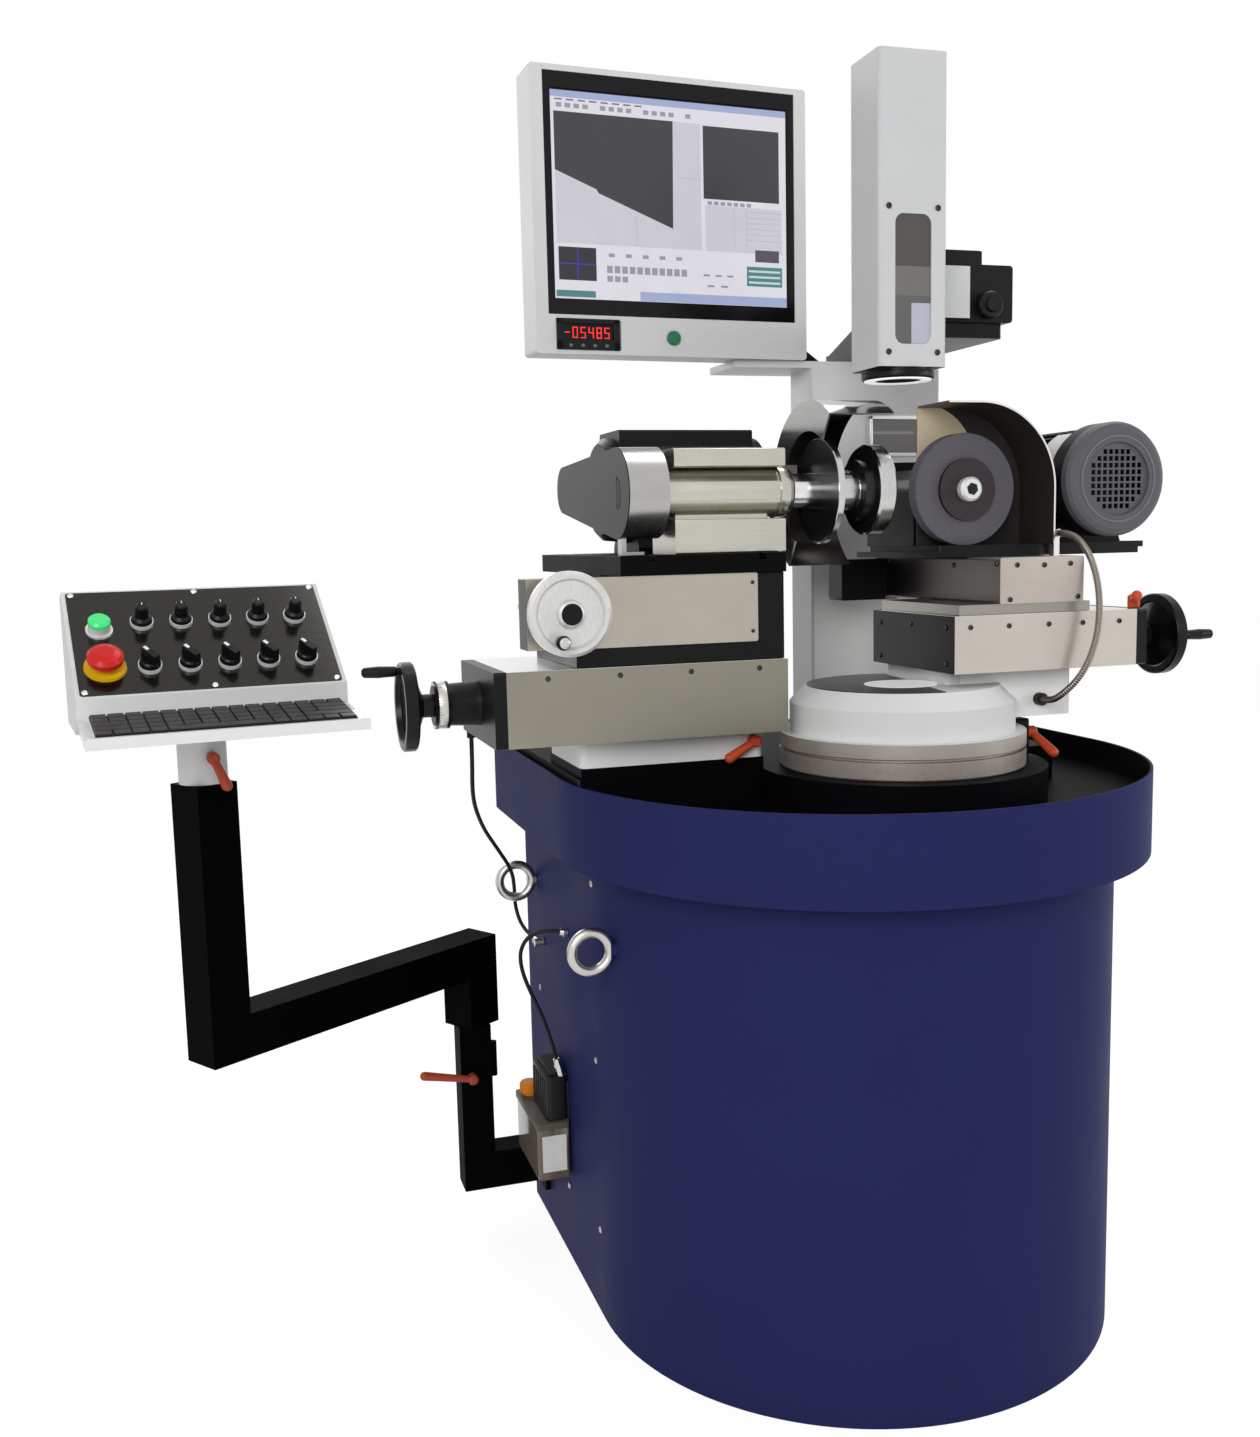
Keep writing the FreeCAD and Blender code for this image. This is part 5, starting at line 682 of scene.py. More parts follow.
def make_hose(name, node, points):
    """Thin rubber hose between two fittings."""
    hose = route_curve(name, points, HOSE_D)
    hose.data.materials.append(moulded("rubber_" + name, srgb(26, 26, 28), 0.5).mat)
    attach(hose, "base")
    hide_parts(node)


def make_conduit():
    """Ribbed metal conduit that bends between the dressing saddle and the turntable."""
    line = route_curve("conduit_line", CONDUIT, 0.0)
    bpy.context.view_layer.update()
    coarse = [v.co.copy() for v in bpy.data.meshes.new_from_object(line).vertices]
    bpy.data.objects.remove(line)
    steps = [0.0]
    for a, b in zip(coarse, coarse[1:]):
        steps.append(steps[-1] + (b - a).length)
    count = int(steps[-1] / RIB_PITCH) * RIB_STEPS
    turns = [2 * math.pi * k / CONDUIT_SIDES for k in range(CONDUIT_SIDES)]

    def ribs(bm):
        rings = []
        side = None
        index = 0
        for i in range(count + 1):
            at = steps[-1] * i / count
            while index < len(steps) - 2 and steps[index + 1] < at:
                index += 1
            share = (at - steps[index]) / (steps[index + 1] - steps[index])
            place = coarse[index].lerp(coarse[index + 1], share)
            heading = (coarse[index + 1] - coarse[index]).normalized()
            side = heading.orthogonal() if side is None else side - heading * side.dot(heading)
            side.normalize()
            across = heading.cross(side)
            radius = CONDUIT_D / 2 * (1.0 if i % RIB_STEPS in (0, 1) else RIB_LOW)
            rings.append([bm.verts.new(place + (side * math.cos(a) + across * math.sin(a)) * radius)
                          for a in turns])
        for low, high in zip(rings, rings[1:]):
            for k in range(CONDUIT_SIDES):
                j = (k + 1) % CONDUIT_SIDES
                bm.faces.new((low[k], low[j], high[j], high[k]))
        bm.faces.new(rings[0])
        bm.faces.new(list(reversed(rings[-1])))
    metal = turned_metal("conduit_metal", srgb(126, 119, 110), 0.34)
    sleeve = new_solid("conduit_sleeve", ribs, metal, 50)
    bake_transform(sleeve)
    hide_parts("conduit")


def finish_stand():
    """Navy cabinet and tray, white base, turned rings."""
    dress("pedestal", powder_coat, NAVY, 0.5, 0.02).zone(STEEL, 0.3, 1.0, x=(-FAR, CABINET_LEFT))
    tray = dress("coolant_tray", powder_coat, NAVY, 0.5, 0.02)
    front = tray.within("z", high=TRAY_IN_R, near=TRAY_AT)
    sides = tray.within("x", TRAY_AT[0] - TRAY_IN_R, TRAY_AT[0] + TRAY_IN_R)
    behind = tray.within("y", TRAY_AT[1], TRAY_BACK)
    plan = tray.math("MAXIMUM", front, tray.both(sides, behind))
    tray.over(tray.both(plan, tray.within("z", TRAY_FLOOR)), srgb(9, 9, 12), 0.5)
    # Painted light: the base's white is a brighter copy of the white paint, making up for the shade it
    # stands in.
    dress("work_slide_base", powder_coat, srgb(234, 234, 233))
    ring = dress("turntable_base", turned_metal, srgb(160, 151, 144), 0.36, 0.5)
    ring.zone(BLACK, 0.4, 0.0, x=(RING_RIGHT, FAR))
    disc = dress("turntable_disc", powder_coat, WHITE)
    disc.zone(srgb(168, 160, 153), 0.34, 0.5, z=(-FAR, RING_TOP))
    # Painted light: the riser's front face is a brighter white than the disc, for the light falling on
    # it.
    disc.zone(srgb(246, 245, 243), 0.45, x=(RISER_LEFT, FAR), y=RISER_FRONT)
    gland = disc.both(disc.near(CONDUIT[-1], GLAND_R), disc.within("y", high=RISER_FRONT[0]))
    disc.over(gland, srgb(44, 42, 41), 0.4, 0.3)


def finish_work_unit():
    """Stainless slide covers, black saddle and table, steel headstock."""
    cover = dress("work_slide_housing", brushed, STAINLESS)
    # Painted highlight: the cover's top face is a brighter steel than its front.
    cover.zone(BRIGHT, 0.25, 1.0, z=(WORK_COVER_TOP, FAR))
    cover.zone(BLACK, 0.36, 0.0, x=(-FAR, WORK_COVER_LEFT))
    cover.zone(STEEL, 0.3, 1.0, ("x", CRANK_AXIS, DIAL_R, FAR), x=DIAL_X)
    dress("work_crank", moulded, DEEP_BLACK, 0.3).zone(STEEL, 0.25, 1.0, x=(WORK_SCREW_FROM, FAR))
    saddle = dress("work_saddle", powder_coat, BLACK, 0.36)
    saddle.zone(srgb(168, 163, 152), 0.34, 0.9, x=(-FAR, BRACKET_RIGHT), z=(BRACKET_FOOT, FAR))
    saddle.zone(srgb(58, 57, 55), 0.4, 0.6, x=(-FAR, BRACKET_END))
    dress("cross_cover", brushed, srgb(174, 168, 156))
    wheel = dress("cross_handwheel", turned_metal, srgb(208, 207, 205), 0.42, 0.45)
    wheel.zone(BLACK, 0.4, 0.0, ("y", CROSS_AXIS, -FAR, HUB_R), y=(-FAR, HUB_FRONT))
    handle = ("y", CROSS_AXIS, HANDLE_FROM_R, FAR)
    wheel.zone(BLACK, 0.3, 0.0, handle, y=(-FAR, HANDLE_BACK))
    wheel.zone(srgb(200, 200, 196), 0.25, 0.3, handle, y=(-FAR, HANDLE_END))
    wheel.zone(STEEL, 0.3, 1.0, y=(CROSS_SCREW_FROM, FAR))
    dress("work_table", powder_coat, srgb(10, 10, 11), 0.45, 0.03)
    dress("headstock", brushed, srgb(190, 187, 176), "x", 0.24)
    belt = dress("belt_cover", brushed, srgb(176, 174, 170), "y", 0.26)
    belt.zone(srgb(34, 34, 35), 0.42, 0.6, x=(-FAR, BELT_FACE))
    dress("work_belt", moulded, srgb(24, 24, 24), 0.6)
    dress("work_motor", powder_coat, srgb(22, 22, 24), 0.4)
    dress("work_motor_pulley", turned_metal, STEEL)
    dress("work_spindle", turned_metal, BRIGHT, 0.18)
    grinder = dress("work_wheel", turned_metal, srgb(198, 197, 196), 0.2)
    for ends, radii in ((FLANGE_X, FLANGE_R), (WHEEL_FACE_X, WHEEL_FACE_R)):
        grinder.zone(srgb(52, 49, 52), 0.28, 0.8, ("x", WORK_AXIS, *radii), x=ends)
    guard = dress("work_guard", brushed, srgb(158, 156, 154), "y", 0.16)
    # Painted shade: the inside of the guard is a dark brownish steel.
    guard.zone(srgb(64, 57, 56), 0.25, 0.9, ("x", WORK_AXIS, -FAR, GUARD_IN_R), x=(GUARD_IN_X, FAR))


def finish_dress_unit():
    """Stainless slides on the turntable, black head and motor, grey abrasive wheel."""
    lower = dress("dress_slide_housing", brushed, srgb(192, 185, 177))
    lower.zone(srgb(38, 37, 37), 0.4, 0.5, x=TROUGH_X, y=TROUGH_Y)
    # Painted shade: the slide's left end face is near-black steel.
    lower.zone(PAINTED_SHADE_STEEL, 0.3, 0.9, x=(-FAR, LOWER_LEFT))
    # Painted highlight: the slide's top face is a brighter steel than its sides.
    lower.zone(BRIGHT, 0.25, 1.0, z=(LOWER_TOP, FAR))
    lower.zone(BLACK, 0.38, 0.0, x=(LOWER_RIGHT, FAR))
    dress("dress_handwheel", moulded, DEEP_BLACK, 0.3).zone(STEEL, 0.25, 1.0, x=(-FAR, DRESS_SCREW_TO))
    upper = dress("dress_cross_housing", brushed, srgb(182, 174, 166))
    upper.zone(srgb(150, 147, 140), 0.3, 1.0, z=(-FAR, STRIP_TOP))
    shade = upper.mix(upper.ramp("y", *UPPER_SHADE_Y), srgb(100, 94, 90), srgb(52, 48, 46))
    upper.zone(shade, 0.3, 0.9, x=(-FAR, UPPER_LEFT), z=(STRIP_TOP, FAR))
    upper.zone(BLACK, 0.4, 0.0, x=(-FAR, REAR_BLOCK_X), y=(REAR_BLOCK_Y, FAR))
    # Painted highlight: the cover's top face is a brighter steel than its sides.
    upper.zone(BRIGHT, 0.25, 1.0, z=(UPPER_TOP, FAR))
    dress("dress_head", powder_coat, srgb(18, 18, 20), 0.38)
    # Painted shade: the hood's sheet is dark brown for the shade inside it; the front edge keeps
    # bright steel.
    hood = dress("dress_guard", brushed, srgb(56, 49, 44), "z", 0.35, 0.35)
    hood.zone(BRIGHT, 0.2, 1.0, y=(-FAR, HOOD_EDGE))
    # Painted shadow: the back plate inside the hood is dark where the arch shades it, with a cream
    # patch of painted light where light falls on it.
    plate = hood.within("y", *HOOD_PLATE_Y)
    hood.over(plate, srgb(50, 47, 46), 0.5, 0.1)
    lit_part = hood.both(plate, hood.within("z", HOOD_LIT_FROM), hood.near(HOOD_LIT, HOOD_LIT_R))
    hood.over(lit_part, srgb(216, 198, 170), 0.5, 0.1)
    motor = dress("dress_motor", powder_coat, srgb(20, 20, 23), 0.4)
    motor.zone(srgb(92, 92, 98), 0.42, y=(-FAR, COWL_BACK))
    flange = dress("dress_spindle", turned_metal, srgb(60, 53, 57), 0.34, 0.6)
    flange.zone(srgb(226, 226, 224), 0.3, 0.3, ("y", DRESS_AXIS, -FAR, NUT_R), y=(-FAR, NUT_BACK))
    grit = dress("dress_wheel", Surface, srgb(98, 95, 103), 0.85, 0.0, 0.2)
    speck = grit.noise(900, detail=3, spread=0.25)
    grit.vary(speck, 0.45)
    grit.bump(speck, 0.5, 0.0008)


def finish_optics():
    """White column, monitor and camera, black stage."""
    dress("column", powder_coat, WHITE).zone(BLACK, x=WEDGE_X, y=WEDGE_Y, z=(COLUMN_TOP, FAR))
    dress("monitor_housing", powder_coat, srgb(216, 217, 217))
    housing = dress("camera_housing", powder_coat, srgb(206, 207, 208))
    housing.zone(BLACK, 0.35, z=(-FAR, CAMERA_FOOT))
    housing.zone(BLACK, 0.4, y=(CAMERA_BACK, FAR))
    dress("camera_arm", powder_coat, BLACK, 0.4)
    dress("camera_stage", powder_coat, srgb(20, 20, 21), 0.42)
    for node in ("camera_knob_x", "camera_knob_y"):
        dress(node, moulded, srgb(15, 15, 16), 0.35)
    dress("monitor_screen", moulded, srgb(10, 10, 12), 0.18)
    dress("monitor_button", lit, srgb(22, 104, 66), 0.15)


def start_lens(name):
    """Green lit top over a pale body."""
    surface = Surface(name, srgb(206, 210, 205), 0.25)
    top = surface.along(on_panel(*START_AT), PANEL_OUT, START_LENS)
    surface.over(top, srgb(52, 190, 108))
    glow = surface.mix(top, (0, 0, 0, 1), srgb(60, 205, 118))
    return surface.set(Emission_Color=glow, Emission_Strength=0.45)


def finish_console():
    """Black arm, white console with bright bezels, coloured buttons and black knobs."""
    for node in ("arm_post", "console_arm"):
        dress(node, powder_coat, srgb(6, 6, 8), 0.55, 0.01)
    case = dress("console_box", powder_coat, srgb(216, 217, 216))
    bezels = case.along(on_panel(0, 0), PANEL_OUT, BEZEL_FROM)
    case.over(bezels, BRIGHT, 0.25, 0.4)
    case.over(case.both(bezels, case.near(on_panel(*STOP_AT), STOP_BEZEL_R)), YELLOW, 0.4, 0.0)
    dress("start_button", start_lens)
    dress("e_stop", moulded, srgb(202, 34, 34), 0.3)
    for i in range(1, 6):
        dress("speed_knob_%d" % i, moulded, srgb(14, 14, 15), 0.35)
        dress("selector_%d" % i, moulded, srgb(14, 14, 15), 0.3)
    for node in ("work_base_lever", "turntable_lever", "dress_lever"):
        dress(node, moulded, ORANGE, 0.36)
    for node in ("arm_lever", "neck_lever"):
        dress(node, moulded, DARK_ORANGE, 0.36)


def round_edges():
    """Small rounded edges on castings, covers and boxes."""
    for node in ("work_slide_housing", "work_saddle", "work_table", "headstock", "work_slide_base",
                 "dress_slide_housing", "dress_cross_housing", "dress_head", "camera_stage",
                 "camera_arm", "console_box", "console_arm", "arm_post", "monitor_housing",
                 "camera_housing", "column"):
        weld = NODES[node].modifiers.new("weld", "WELD")
        weld.merge_threshold = 0.00002
        round_off(NODES[node], NODE_EDGE, True)


def slide_screws():
    """Small screws that hold the sheet covers, the cabinet's wall and the camera's window."""
    dark = turned_metal("screw_dark", srgb(70, 68, 66), 0.35)
    front = (0, -1, 0)
    left = (-1, 0, 0)
    work = [(x, 0.0, 0.921) for x in (-0.483, -0.390, -0.296, -0.2025)]
    screws("work_cover_screws", "base", work, front, dark)
    cross = [(-0.211, 0.0, z) for z in (0.969, 1.031)]
    screws("cross_cover_screws", "work_saddle", cross, front, dark, 0.0025)
    lower = [(x, -0.093, 0.9675) for x in (0.049, 0.105, 0.164, 0.215, 0.271)]
    screws("dress_front_screws", "turntable", lower, front, dark)
    end = [(0.026, y, z) for y, z in ((0.109, 0.965), (0.022, 0.967), (-0.070, 0.967),
                                      (0.109, 0.919), (-0.070, 0.920))]
    screws("dress_end_screws", "turntable", end, left, dark)
    upper = [(x, -0.093, z) for x, z in ((0.116, 1.045), (0.156, 1.044), (0.195, 1.045),
                                         (0.106, 1.001), (0.207, 1.002))]
    screws("cross_front_screws", "dress_saddle", upper, front, dark)
    side = [(0.091, y, z) for y, z in ((0.205, 1.047), (0.022, 1.044), (-0.084, 1.047))]
    screws("cross_side_screws", "dress_saddle", side, left, dark)
    pale = turned_metal("screw_pale", srgb(180, 180, 182), 0.3)
    wall = [(-0.399, y, z) for y, z in ((0.452, 0.381), (0.301, 0.115), (0.130, 0.625),
                                        (0.130, 0.375), (0.130, 0.127))]
    screws("cabinet_screws", "base", wall, left, pale, 0.005)
    lens = [(x, -0.031, z) for x in (-0.0345, 0.0345) for z in (1.317, 1.495)]
    screws("camera_screws", "camera", lens, front, dark, 0.0040)


def turntable_dark_reflection():
    """Dark glossy sheet over the disc beside the riser, a painted reflection and shade on the disc's
    top, with a lit patch.
    """
    # Painted reflection: the dark glossy sheet stands for the dark things mirrored on the disc's white
    # top, and their shade.
    glossy = Surface("painted_dark_reflection", srgb(64, 63, 66), 0.3, 0.7)
    glossy.vary(glossy.noise(5), 0.08, 0.05)
    points = []
    for i in range(49):
        angle = math.radians(REFLECTION_FROM + (REFLECTION_TO - REFLECTION_FROM) * i / 48)
        points.append((REFLECTION_R * math.cos(angle), REFLECTION_R * math.sin(angle)))
    sheet_piece("turntable_dark_reflection", "turntable", points, DISC_TOP, DISC_TOP + 0.0012, glossy, 0.0004)
    bright = lit("lit_patch", srgb(245, 245, 242), 0.25)
    profile = [(0, 0), (0, PATCH_R), (0.0006, PATCH_R), (0.0006, 0)]
    base = (*PATCH_AT, DISC_TOP + 0.0011)
    turned_piece("camera_light_patch", "turntable", profile, base, (0, 0, 1), 48, bright)


def dial_marks():
    """Graduations round the collar of the work slide's crank."""
    def ticks(bm):
        for i in range(DIAL_TICKS):
            turn = placed((0, *CRANK_AXIS), 2 * math.pi * i / DIAL_TICKS)
            length = 0.008 if i % 5 == 0 else 0.0045
            low = (TICK_X, -0.00025, TICK_R - 0.0003)
            block(bm, low, (TICK_X + length, 0.00025, TICK_R + 0.0001), turn)
    piece("work_dial_marks", "base", ticks, moulded("dial_ink", srgb(30, 30, 30), 0.5))


def belt_cover_slot():
    """Dark slot in the face of the belt cover."""
    outline = round_rect(-0.007, 0.007, -0.019, 0.019, 0.0068)
    place = placed((-0.372, 0.050, 1.1465), -QUARTER, "Y") @ Matrix.Rotation(QUARTER, 4, "Z")
    dark = moulded("slot_dark", srgb(12, 12, 12), 0.5)
    sheet_piece("belt_cover_slot", "headstock", outline, -0.0004, 0.0003, dark, 0.0, place)


def wheel_nut():
    """Hexagon socket in the dressing wheel's nut."""
    profile = [(0, 0), (0, SOCKET_R), (0.0004, SOCKET_R), (0.0004, 0)]
    base = (DRESS_AXIS[0], NUT_FRONT, DRESS_AXIS[1])
    dark = moulded("socket_dark", srgb(18, 18, 18), 0.5)
    turned_piece("wheel_nut_socket", "dress_spindle", profile, base, (0, -1, 0), 6, dark)


def cowl_ring():
    """Raised ring round the grille of the dressing motor's cowl."""
    profile = [(-0.0005, 0.0555), (0.0010, 0.0558), (0.0010, 0.0578), (-0.0005, 0.0581)]
    base = (MOTOR_AXIS[0], COWL_FRONT, MOTOR_AXIS[1])
    grey = powder_coat("cowl_ring", srgb(118, 119, 125), 0.35)
    turned_piece("cowl_ring", "dress_head", profile + profile[:1], base, (0, -1, 0), 64, grey)


def motor_plate():
    """Bare pale plate bent round the dressing motor's left side."""
    def bent(bm):
        rows = []
        for i in range(9):
            angle = math.radians(PLATE_ARC[0] + (PLATE_ARC[1] - PLATE_ARC[0]) * i / 8)
            row = []
            for radius in (MOTOR_BODY_R, MOTOR_BODY_R + 0.0012):
                x = MOTOR_AXIS[0] + radius * math.cos(angle)
                z = MOTOR_AXIS[1] + radius * math.sin(angle)
                row += [bm.verts.new((x, y, z)) for y in PLATE_Y]
            rows.append(row)
        for low, high in zip(rows, rows[1:]):
            for a, b in ((0, 1), (1, 3), (3, 2), (2, 0)):
                bm.faces.new((low[a], low[b], high[b], high[a]))
        for row in (rows[0], rows[-1]):
            bm.faces.new((row[0], row[1], row[3], row[2]))
    piece("motor_plate", "dress_head", bent, moulded("plate_pale", srgb(214, 215, 214), 0.35))


def cards(name, color, boxes, level):
    """Flat coloured areas of the screen, one level in front of the last."""
    def build(bm):
        for x0, x1, z0, z1 in boxes:
            block(bm, (x0, z0, 0), (x1, z1, CARD_T * level), SCREEN)
    piece(name, "monitor", build, display(name, color))


def card_row(count, left, step, width, low, high):
    """Equal cards side by side."""
    return [(left + step * i, left + step * i + width, low, high) for i in range(count)]


def monitor_picture():
    """Generic measuring picture: a wedge in profile, a second view, rows of tools."""
    x0, x1 = SCREEN_X
    z0, z1 = SCREEN_Z
    cards("screen_paper", srgb(226, 223, 232), [(x0, x1, z0, z1)], 1)
    bars = [(x0, x1, z1 - 0.009, z1), (-0.250, x1, z0 + 0.001, z0 + 0.014)]
    cards("screen_bars", srgb(160, 174, 212), bars, 2)
    view = [(-0.374, -0.152, 1.502, 1.678), (-0.146, -0.022, 1.502, 1.566)]
    cards("screen_views", srgb(206, 203, 212), view, 2)
    lines = [(-0.1895, -0.152, 1.6010, 1.6015), (-0.2540, -0.2535, 1.502, 1.545),
             (-0.100, -0.0995, 1.510, 1.566), (-0.080, -0.0795, 1.510, 1.566)]
    lines += [(-0.078, -0.024, 1.5600 - 0.008 * i, 1.5605 - 0.008 * i) for i in range(6)]
    cards("screen_lines", srgb(170, 166, 178), lines, 3)

    def shadow(bm):
        wedge = [(-0.374, 1.678), (-0.374, 1.600), (-0.313, 1.577), (-0.310, 1.572),
                 (-0.197, 1.530), (-0.195, 1.678)]
        slab(bm, wedge, 0, CARD_T * 4, SCREEN)
        block(bm, (-0.148, 1.575, 0), (-0.026, 1.676, CARD_T * 4), SCREEN)
    piece("screen_shadow", "monitor", shadow, display("screen_dark", srgb(47, 46, 52)))
    small = [(-0.372, -0.316, 1.452, 1.497)]
    cards("screen_small_view", srgb(20, 20, 34), small, 4)
    cross = [(-0.3445, -0.3430, 1.454, 1.495), (-0.370, -0.318, 1.4735, 1.4750)]
    cards("screen_cross", srgb(40, 40, 190), cross, 5)
    teal = [(-0.080, -0.022, 1.455, 1.483), (x0 + 0.002, -0.318, z0 + 0.003, z0 + 0.012)]
    cards("screen_teal", srgb(70, 126, 130), teal, 4)
    bars = [(-0.077, -0.025, 1.459 + 0.008 * i, 1.462 + 0.008 * i) for i in range(3)]
    cards("screen_teal_rows", srgb(196, 220, 222), bars, 5)
    tools = card_row(16, -0.370, 0.013, 0.008, 1.6835, 1.6895)
    icons = [card for i, card in enumerate(tools) if i % 5 != 4]
    icons += card_row(7, -0.142, 0.0105, 0.007, 1.567, 1.572)
    icons += card_row(11, -0.300, 0.0115, 0.0085, 1.4640, 1.4740)
    icons += card_row(3, -0.300, 0.0115, 0.0085, 1.4520, 1.4600)
    icons += card_row(5, -0.297, 0.026, 0.009, 1.4860, 1.4910)
    icons += card_row(3, -0.150, 0.019, 0.010, 1.4660, 1.4690)
    icons += card_row(2, -0.144, 0.022, 0.011, 1.4510, 1.4540)
    cards("screen_icons", srgb(150, 152, 168), icons, 3)
    words = card_row(8, -0.372, 0.017, 0.011, 1.6930, 1.6950)
    cards("screen_menu", srgb(104, 104, 120), words, 3)
    cards("screen_tool", srgb(76, 68, 84), [(-0.066, -0.027, 1.490, 1.507)], 4)


def figures(bm, text, left, bottom, width, height, gap, place):
    """Seven-segment figures."""
    thick = width * 0.2
    trim = thick * 0.12
    middle = height / 2
    bars = {"a": (0, height - thick, width, height), "d": (0, 0, width, thick),
            "g": (0, middle - thick / 2, width, middle + thick / 2),
            "f": (0, middle, thick, height), "e": (0, 0, thick, middle),
            "b": (width - thick, middle, width, height), "c": (width - thick, 0, width, middle)}
    for i, sign in enumerate(text):
        at = left + i * (width + gap)
        for segment in SEGMENTS[sign]:
            x0, z0, x1, z1 = bars[segment]
            low = (at + x0 + trim, bottom + z0 + trim, 0)
            block(bm, low, (at + x1 - trim, bottom + z1 - trim, 0.0006), place)


def panel_meter():
    """Digital meter below the screen: black frame, dark window, red figures."""
    face = MONITOR @ placed((0, MONITOR_FRONT, 0), QUARTER)
    inner = face @ Matrix.Translation((0, 0, -0.0015))
    x0, x1, z0, z1 = METER_BOX

    def case(bm):
        four_bars(bm, METER_BOX, (0.012, 0.007, 0.009), -0.0025, 0.0025, face)
        block(bm, (x0, z0, -0.0028), (x1, z1, -0.0015), face)
    piece("meter_frame", "monitor", case, moulded("meter_black", srgb(16, 16, 18), 0.3), 0.0005)

    def reading(bm):
        figures(bm, "-05485", x0 + 0.0125, z0 + 0.0165, 0.0078, 0.0155, 0.0042, inner)
    piece("meter_figures", "monitor", reading, lit("meter_red", srgb(255, 40, 36), 1.0))

    def small_keys(bm):
        for i in range(4):
            x = x0 + 0.018 + 0.018 * i
            block(bm, (x, z0 + 0.004, 0.0024), (x + 0.005, z0 + 0.008, 0.0032), face)
    piece("meter_keys", "monitor", small_keys, moulded("meter_keys", srgb(110, 110, 112), 0.5), 0.0003)


def camera_details():
    """Camera window's pane with what shows behind it, and the ring light round the lens."""
    pane = Surface("camera_pane", srgb(88, 84, 83), 0.2, shine=0.15)
    pane.vary(pane.noise(40), 0.06)
    pane.zone(srgb(118, 116, 113), z=(-FAR, 1.423))
    pane.zone(srgb(104, 102, 101), z=(-FAR, 1.387))
    pane.zone(srgb(186, 187, 203), x=(-0.0017, FAR), z=(-FAR, 1.378))
    outline = round_rect(-0.0252, 0.0252, 1.3275, 1.4865, 0.006)
    front = Matrix.Rotation(QUARTER, 4, "X")
    sheet_piece("camera_pane", "camera", outline, 0.0282, 0.0292, pane, 0.0, front)
    glow = lit("ring_light", srgb(250, 250, 250), 0.5)
    profile = [(0, 0.0305), (0, 0.0435), (0.0015, 0.0430), (0.0015, 0.0310), (0, 0.0305)]
    turned_piece("ring_light", "camera", profile, LENS_FOOT, (0, 0, -1), 48, glow)


def column_window():
    """Framed display in the column."""
    steel = brushed("window_frame", srgb(212, 212, 210), "x", 0.3)
    front = placed((0, COLUMN_FRONT, 0), QUARTER)
    x0, x1, z0, z1 = WINDOW_BOX
    rim = WINDOW_RIM

    def bars(bm):
        four_bars(bm, WINDOW_BOX, (rim, rim, rim), -0.002, 0.004, front)
    piece("window_frame", "base", bars, steel, 0.0008)
    grey = display("window_grey", srgb(92, 88, 91), 0.7)
    low = (x0 + rim, z0 + rim, -0.0024)
    box_piece("window_pane", "base", low, (x1 - rim, z1 - rim, -0.0012), grey, 0.0, front)
    pale = display("window_pale", srgb(128, 124, 128), 0.7)
    low = (x0 + rim, 1.2415, -0.0012)
    box_piece("window_line", "base", low, (x1 - 0.018, 1.2455, -0.0008), pale, 0.0, front)


def console_panel():
    """Dark polished panel with screws, a yellow ring and the knobs' index marks."""
    plate = Surface("panel_steel", srgb(56, 54, 51), 0.16, 0.9)
    plate.vary(plate.noise(700, (0.02, 1, 1), detail=5), 0.10, 0.04)
    half_w, half_d = [s / 2 for s in PANEL_SIZE]
    outline = round_rect(-half_w, half_w, -half_d, half_d, 0.004, 0.003)
    sheet_piece("panel_plate", "console", outline, 0, PANEL_T, plate, 0.0003, PANEL)
    pale = turned_metal("panel_screw", srgb(220, 220, 218), 0.25)
    corners = [on_panel(x, y, PANEL_T) for x in (-0.149, 0.0, 0.149) for y in (-0.088, 0.088)]
    screws("panel_screws", "console", corners, PANEL_OUT, pale, 0.004)
    yellow = moulded("stop_yellow", YELLOW, 0.4)
    profile = [(0, 0.0195), (0, 0.0250), (0.0046, 0.0240), (0.0046, 0.0195), (0, 0.0195)]
    turned_piece("stop_disc", "console", profile, on_panel(*STOP_AT), PANEL_OUT, 40, yellow)
    white = moulded("index_white", srgb(232, 232, 230), 0.5)
    for i, along in enumerate(ROW_ALONG, 1):
        place = PANEL @ Matrix.Translation((along, -SPEED_DOWN, KNOB_TOP))
        box_piece("speed_mark_%d" % i, "speed_knob_%d" % i, (-0.0005, 0.001, -0.0004),
                  (0.0005, 0.0055, 0.0002), white, 0.0, place)
        place = PANEL @ placed((along, -SELECT_DOWN, BAR_TOP), BAR_TURN, "Z")
        box_piece("selector_mark_%d" % i, "selector_%d" % i, (-0.0020, 0.004, -0.0004),
                  (0.0020, 0.0112, 0.0002), white, 0.0, place)


def keyboard():
    """Black keys on the shelf, some of them wide."""
    low_y = PANEL_CENTRE[1] - PANEL_SIZE[1] / 2 * math.cos(PANEL_SLOPE)
    lip_z = PANEL_CENTRE[2] - PANEL_SIZE[1] / 2 * math.sin(PANEL_SLOPE) - LIP_DROP
    near = low_y - (SHELF_D - KEYS_D) / 2
    tilt = SHELF_DROP / SHELF_D
    near_z = lip_z - (low_y - near) * tilt + KEYS_T
    slope = math.atan2(KEYS_D * tilt + 0.002, KEYS_D)
    width = CONSOLE_W - 0.024
    place = CONSOLE @ placed((PANEL_CENTRE[0] - width / 2, near, near_z), slope)
    pitch = width / KEY_COLUMNS
    row = KEYS_D / math.cos(slope) / KEY_ROWS
    dark = moulded("keyboard_dark", srgb(14, 14, 15), 0.5)
    low = (0, -row * KEY_ROWS, -0.001)
    box_piece("keyboard_base", "console", low, (width, 0, 0.0008), dark, 0.0005, place)

    def keys(bm):
        for j in range(KEY_ROWS):
            at = 0.0
            while at < width - 0.001:
                wide = KEY_SPANS.get((j, round(at / pitch)), 1)
                block(bm, (at + 0.001, -row * (j + 1) + 0.001, 0.0005),
                      (min(at + wide * pitch, width) - 0.001, -row * j - 0.001, 0.0034), place)
                at += wide * pitch
    piece("keyboard_keys", "console", keys, moulded("key_black", srgb(40, 40, 43), 0.45), 0.0008)


